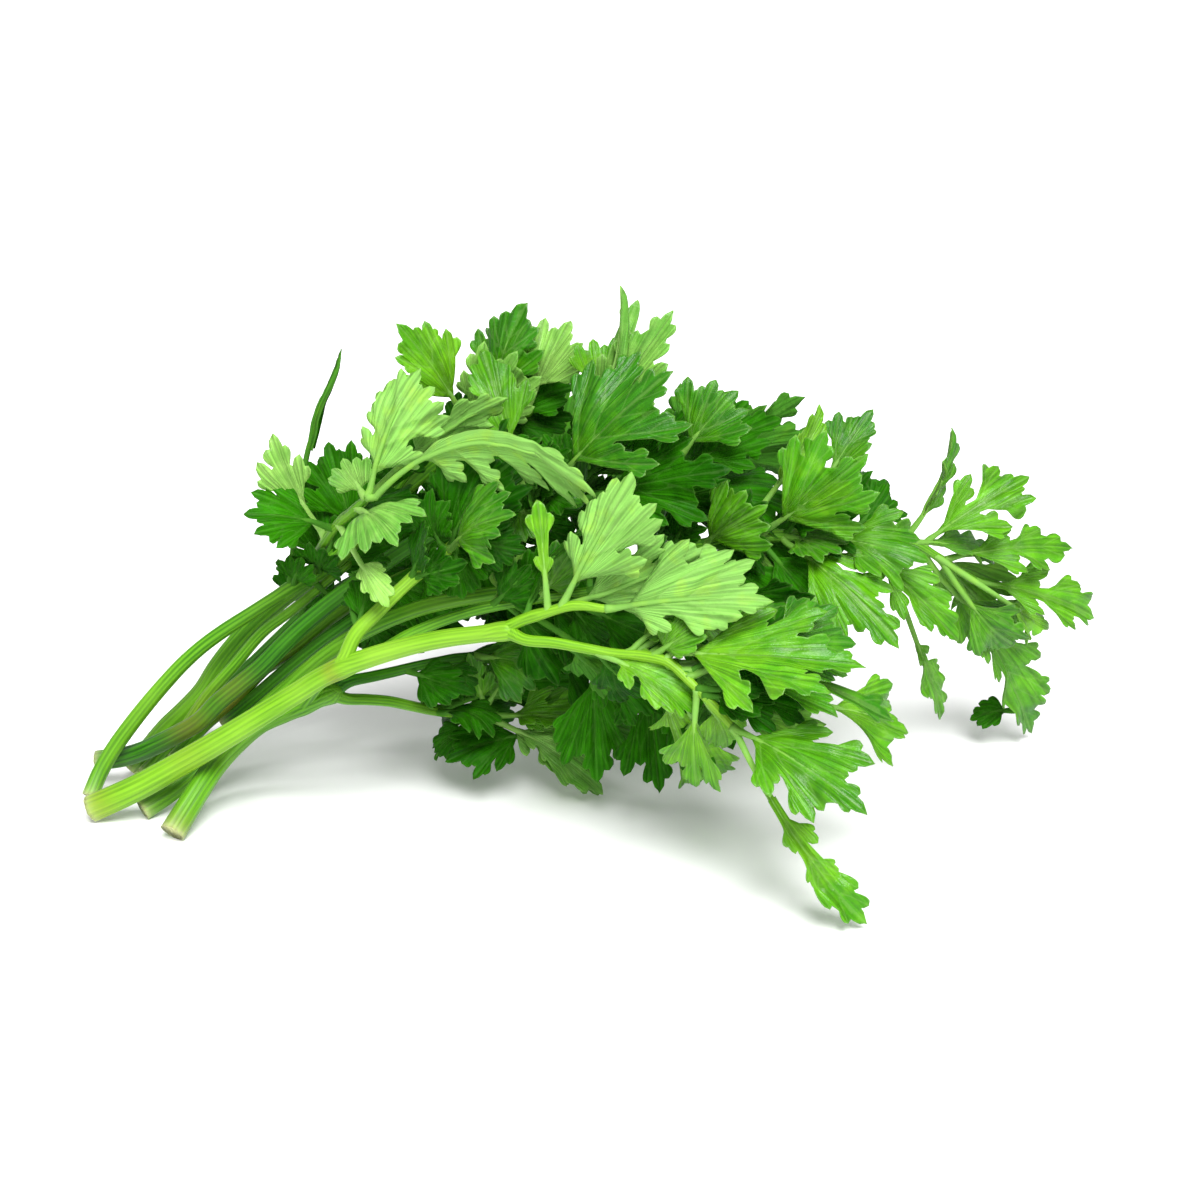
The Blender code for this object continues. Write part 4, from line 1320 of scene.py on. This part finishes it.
def thick_sheet(blade):
    """A coarse solid round a blade, a little thicker and wider than it."""
    rows = np.linspace(blade["petiole"], blade["length"], SHEET_ROWS)
    share = (rows - rows[0]) / (rows[-1] - rows[0])
    half = blade["half"] * np.minimum(1.0, 0.15 + 2.2 * share) * np.sqrt(np.maximum(1 - share ** 3, 0.02))
    wide = ROW_STEPS + 1
    x, y = np.repeat(rows, wide), (half[:, None] * np.linspace(-1, 1, wide)).reshape(-1)
    middle, normals = on_blade(blade, x, y), surface_normals(blade, x, y)
    points, faces = [], []
    for lift in (-CLEARANCE_MM, CLEARANCE_MM):
        first = len(points)
        points += (middle + lift * normals).tolist()
        corners = [first + wide * i + j for i in range(SHEET_ROWS - 1) for j in range(ROW_STEPS)]
        faces += [(k, k + wide, k + wide + 1, k + 1) for k in corners]
    return points, faces


room_low = np.array(cad_low) / MM + LOW_MARGIN_MM
room_high = np.array(cad_high) / MM - HIGH_MARGIN_MM


def has_room(blade):
    """Whether a blade lies inside the bunch's box and meets nothing."""
    points, faces = thick_sheet(blade)
    low, high = np.min(points, axis=0), np.max(points, axis=0)
    if (low < room_low).any() or (high > room_high).any():
        return False
    tree = BVHTree.FromPolygons(points, faces)
    return not any(tree.overlap(other) for other in taken)

# %% A blade between two points
FOLD = 0.15
# How far from its start a blade's petiole begins, and how far behind another blade it grows from there.
FOOT_GAP_MM, BEHIND_MM = 2.0, 2.5
LONGEST_PETIOLE = 0.6


def new_blade(start, tip, face, half, petiole, arch, sweep):
    """A blade from the surface near start to the tip, with its upper side turned to face."""
    forward = unit(tip - start)
    base = start + FOOT_GAP_MM * forward
    length = np.linalg.norm(tip - base)
    up = unit(face - face.dot(forward) * forward)
    return {"base": base, "forward": forward, "across": np.cross(forward, up), "up": up, "length": length,
            "petiole": min(petiole, LONGEST_PETIOLE * length), "half": half, "sweep": 4 * sweep * length,
            "bend": np.array([4 * arch * length, 0.0, FOLD, 0.0])}


def place_on(stem, part):
    """The point at a part of a stem's length, on its centre line, or just behind a blade's."""
    if stem in blades:
        ahead = np.array([part * blades[stem]["length"]])
        return on_blade(blades[stem], ahead, np.zeros(1))[0] + (0.0, BEHIND_MM, 0.0)
    line, _, along = lines[stem]
    return point_at(line, along, part * along[-1])

# %% Leaves listed one by one
FRONT = np.array((0.0, -0.92, 0.38))
UP = np.array((0.0, 0.0, 1.0))
RIGHT = np.array((1.0, 0.0, 0.0))
FACINGS = {"front": FRONT, "raised": FRONT + UP, "right": FRONT + RIGHT}

# A row for each: name, stem, part of the stem's length, step to the tip, half-width, petiole and tint.
# Where a leaf isn't as SHADED_SET says, its material, lobe plan, facing, arch and sweep come next.
# Rows that stop at the tint take the deep blade: dark screen, gap and inner leaves, painted shade inside the
# bunch.
SHADED_SET = ["deep", "full_fan", "front", 0.06, 0.0]
HAND_SET = """
screen_leaf_9 right_stalk 0.70 26 22 -10 10 4 0.6
screen_leaf_8 back_stalk 0.50 9 -4 25 10 4 0.6
screen_leaf_7 back_stalk 0.80 22 -8 -8 9 3 0.3
screen_leaf_6 back_stalk 0.62 26 -5 2 9 3 0.5
screen_leaf_5 right_stalk 0.75 15 20 -12 9 3 0.5
screen_leaf_4 right_stalk 0.65 20 19 -19 10 3 0.7
screen_leaf_3 twin_stalk 0.50 27 1 15 10 3 0.4
screen_leaf_2 back_stalk 0.85 11 -14 27 12 8 0.6
screen_leaf_1 back_stalk 0.70 25 -15 9 12 3 0.3
gap_leaf_10 twin_stalk 0.95 14 6 14 9 1 0.8
gap_leaf_9 back_stalk 0.70 3 -9 30 13 4 0.4
gap_leaf_8 back_stalk 0.60 6 -8 34 12 8 0.6
gap_leaf_7 cross_stalk 0.70 18 14 -22 9 4 0.7
gap_leaf_6 cross_stalk 0.60 8 14 -22 8 3 0.5
spray_leaf_outer spray_lower_branch 0.80 50 19 -17 9 32 0.4 young trident raised 0.05
low_leaf_shaded low_branch 0.90 -10 10 -13 6 3 0.2 deep full_fan raised 0.08
low_leaf_table low_branch 0.98 30 -11 -16 7 8 0.0 pale half_fan raised 0.10
low_leaf_side low_leaf_right 0.28 -20 -11 -3 7 2 0.4 deep full_fan raised 0.08
fan_leaf_inner right_stalk 0.90 25 14 -10 7 4 0.5 grown sprig raised 0.08
crown_sliver crown_branch 0.80 11 5 31 4 4 0.2 pale sliver front 0.03
lime_leaf left_branch 0.55 13 -25 -12 4 16 0.5 lime half_fan front 0.10
spike_leaf right_stalk 0.70 21 7 30 4 14 0.8 young feather right 0.04
outer_leaf_high right_stalk 0.76 19 12 27 6 16 0.2 grown trident raised 0.08
outer_leaf_dark right_stalk 0.80 16 21 7 9 9 0.6 deep full_fan front 0.05
drooping_leaf right_stalk 0.86 18 2 -48 4 26 0.7 grown feather right 0.03 0.04
resting_lobe end_leaf_hanging 0.84 -13 -2 -2 4 2 0.8 deep trident raised 0.10
narrow_leaf spray_upper_branch 0.35 -2 1 26 3 6 0.7 young narrow front 0.03
inner_hanging_leaf node_branch 0.76 2 -8 -11 7 1 0.9 deep half_fan
crown_leaf_olive cross_stalk 0.92 -11 14 34 8 12 0.6 grown trident
spray_leaf_near spray_lower_branch 0.30 23 -9 -11 6 4 0.5 young feather raised 0.08
low_leaf_rising low_branch 1.00 -4 -4 18 4 4 0.3 grown trident front 0.05
low_leaf_second low_branch 0.96 9 -1 15 6 4 0.2 grown full_fan front 0.05
low_leaf_middle low_branch 0.98 37 -10 -1 7 6 0.6 grown half_fan raised 0.08
spray_leaf_drooping spray_lower_branch 0.55 10 38 -45 5 16 0.6 young fingers front 0.05
spray_leaf_droplet spray_lower_branch 0.62 13 36 -43 3 20 0.5 young feather front 0.05
crown_leaf_second twin_stalk 0.88 12 -13 25 10 7 0.5 pale full_fan front 0.08
under_leaf_dark right_stalk 0.72 16 -6 -17 8 5 0.9 deep full_fan front 0.08
pale_lobe left_branch 0.98 -5 -1 10 10 1 0.3 pale full_fan
crown_leaf_pale crown_branch 0.90 19 3 27 8 3 0.3 pale cut_fan
gap_leaf_1 cross_stalk 0.62 22 4 -10 9 3 0.6
gap_leaf_2 cross_stalk 0.70 20 6 -14 9 3 0.8 deep cut_fan
gap_leaf_3 cross_stalk 0.56 14 8 -14 8 3 0.4
gap_leaf_4 cross_stalk 0.80 20 2 -20 9 4 0.7
gap_leaf_5 left_stalk 0.64 10 6 -14 8 3 0.5
left_leaf_dark left_stalk 0.60 3 -8 10 8 3 0.8
left_leaf_shaded left_stalk 0.66 2 -12 10 8 3 0.5
left_inner_leaf_1 back_stalk 0.40 -5 -7 36 11 12 0.7
left_inner_leaf_2 twin_stalk 0.60 -7 6 23 10 3 0.9
left_inner_leaf_3 back_stalk 0.45 7 -9 20 10 3 0.4
left_inner_leaf_4 twin_stalk 0.52 7 7 20 9 3 0.6 deep cut_fan
left_inner_leaf_5 back_stalk 0.33 7 -5 18 9 3 0.5
left_inner_leaf_6 back_stalk 0.45 14 -9 9 9 3 0.3
inner_leaf_1 back_stalk 0.45 9 -12 -3 9 3 0.5
inner_leaf_2 back_stalk 0.52 12 -13 -9 10 3 0.3
inner_leaf_3 back_stalk 0.62 12 -16 -15 10 4 0.7
inner_leaf_4 back_stalk 0.70 13 -21 -21 10 8 0.5 deep cut_fan
inner_leaf_5 back_stalk 0.80 8 -26 -28 11 12 0.4
under_leaf_1 right_stalk 0.55 2 -10 -50 10 24 0.9
under_leaf_2 right_stalk 0.60 5 -12 -54 10 26 0.6 deep cut_fan
under_leaf_3 right_stalk 0.65 4 -19 -53 9 26 0.8
upper_leaf_dark upper_branch 0.60 31 3 -3 10 6 0.8 deep full_fan raised 0.08
"""


def keep_leaf(name, blade, start, kind, tint, plan):
    """Grows one more leaf and marks its room as taken."""
    piece = grow_leaf(name, blade, start, BLADES[kind], tint, plan)
    taken.append(surface_tree(piece))
    leaf_pieces.append(piece)


for row in HAND_SET.split("\n")[1:-1]:
    name, stem, part, *numbers = row.split()[:9]
    *step, half, petiole, tint = map(float, numbers)
    special = row.split()[9:]
    kind, plan, facing, *bend = special + SHADED_SET[len(special):]
    start = place_on(stem, float(part))
    blade = new_blade(start, start + step, FACINGS[facing], half, petiole, *map(float, bend))
    keep_leaf(name, blade, start, kind, tint, plan)
print("leaves set by hand:", len(HAND_SET.split("\n")) - 2)

# %% Leaves that find their own room
# Centre and radii of each crowded part in millimetres, the side that its leaves look to, how many leaves
# it may take, and the share of them that takes the deep blade, the darker copy that paints the shade inside
# the bunch.
CROWDS = {
    "front": ((-18, -16, 82), (38, 12, 26), FRONT + 0.3 * UP, 18, 0.85),
    "heart": ((-12, 8, 86), (40, 24, 28), FRONT + 0.6 * UP, 26, 1.0),
    "gap": ((-38, -3, 62), (24, 10, 10), FRONT + 0.4 * UP, 6, 0.9),
    "screen": ((-40, 33, 48), (34, 4, 12), FRONT, 10, 0.9),
    "spray": ((38, -44, 54), (26, 14, 22), FRONT + 0.8 * UP, 16, 0.35),
    "fan": ((104, 30, 42), (11, 8, 18), FRONT + 0.4 * UP, 4, 0.1),
    "right": ((40, 4, 76), (34, 22, 22), FRONT + 0.6 * UP, 22, 0.8),
    "low": ((-6, 6, 27), (28, 20, 14), FRONT + 0.8 * UP, 5, 0.9),
    "table": ((22, 4, 14), (26, 10, 8), FRONT + 0.5 * UP, 6, 0.6),
    "under": ((24, -14, 40), (30, 22, 20), FRONT + 0.6 * UP, 14, 0.85),
    "back": ((8, 48, 58), (58, 24, 40), UP - FRONT, 18, 0.8),
    "low_screen": ((-2, 28, 32), (32, 5, 14), FRONT, 10, 1.0),
    "high_screen": ((-12, 30, 82), (48, 6, 20), FRONT, 12, 1.0),
}
TRIES_EACH = 90
SIZE_SHARES = (1.0, 0.85, 0.7, 0.55)
# How far a leaf reaches from its stem, and how long its blade is.
SHORTEST_REACH_MM, LONGEST_REACH_MM = 15, 46
SHORTEST_BLADE_MM, LONGEST_BLADE_MM = 21, 32


def crowd_blade(rng, centre, radii, side, size_share):
    """A blade with a random tip in a crowded part, fed by a stem that passes near, and where it starts."""
    way = unit(np.array([rng.gauss(0, 1) for _ in range(3)]))
    tip = np.array(centre) + np.array(radii) * way * rng.random() ** 0.4
    stem, near, along = nearest_stem(tip)
    line, _, lengths = lines[stem]
    back = max(along - rng.uniform(0.4, 1.0) * np.linalg.norm(tip - near), 0.02 * lengths[-1])
    start = point_at(line, lengths, back)
    reach = np.linalg.norm(tip - start)
    if not SHORTEST_REACH_MM < reach < LONGEST_REACH_MM:
        return None, start
    face = unit(unit(side) + 0.5 * np.array([rng.gauss(0, 1) for _ in range(3)]))
    length = min(reach - 4, rng.uniform(SHORTEST_BLADE_MM, LONGEST_BLADE_MM)) * size_share
    half = length * rng.uniform(0.36, 0.48)
    arch, sweep = rng.uniform(0.03, 0.14), rng.uniform(-0.08, 0.08)
    return new_blade(start, tip, face, half, reach - FOOT_GAP_MM - length, arch, sweep), start


crowd_rng = random.Random(7)
for crowd, (centre, radii, side, wanted, shaded_share) in CROWDS.items():
    grown_here = 0
    for size_share in SIZE_SHARES:
        for _ in range(TRIES_EACH * wanted // len(SIZE_SHARES)):
            if grown_here == wanted:
                break
            blade, start = crowd_blade(crowd_rng, centre, radii, side, size_share)
            if blade is None or not has_room(blade):
                continue
            grown_here += 1
            # Deep leaves take the darker copy of the blade: painted shade inside the bunch.
            kind = "deep" if crowd_rng.random() < shaded_share else crowd_rng.choice(("grown", "young"))
            tint, plan = crowd_rng.uniform(0.2, 0.7), crowd_rng.choice(("full_fan", "cut_fan", "trident"))
            keep_leaf(f"{crowd}_crowd_leaf_{grown_here:02d}", blade, start, kind, tint, plan)
    print(crowd, "takes", grown_here, "more leaves")
print("all leaves:", sum(map(triangles_in, leaf_pieces)), "triangles")
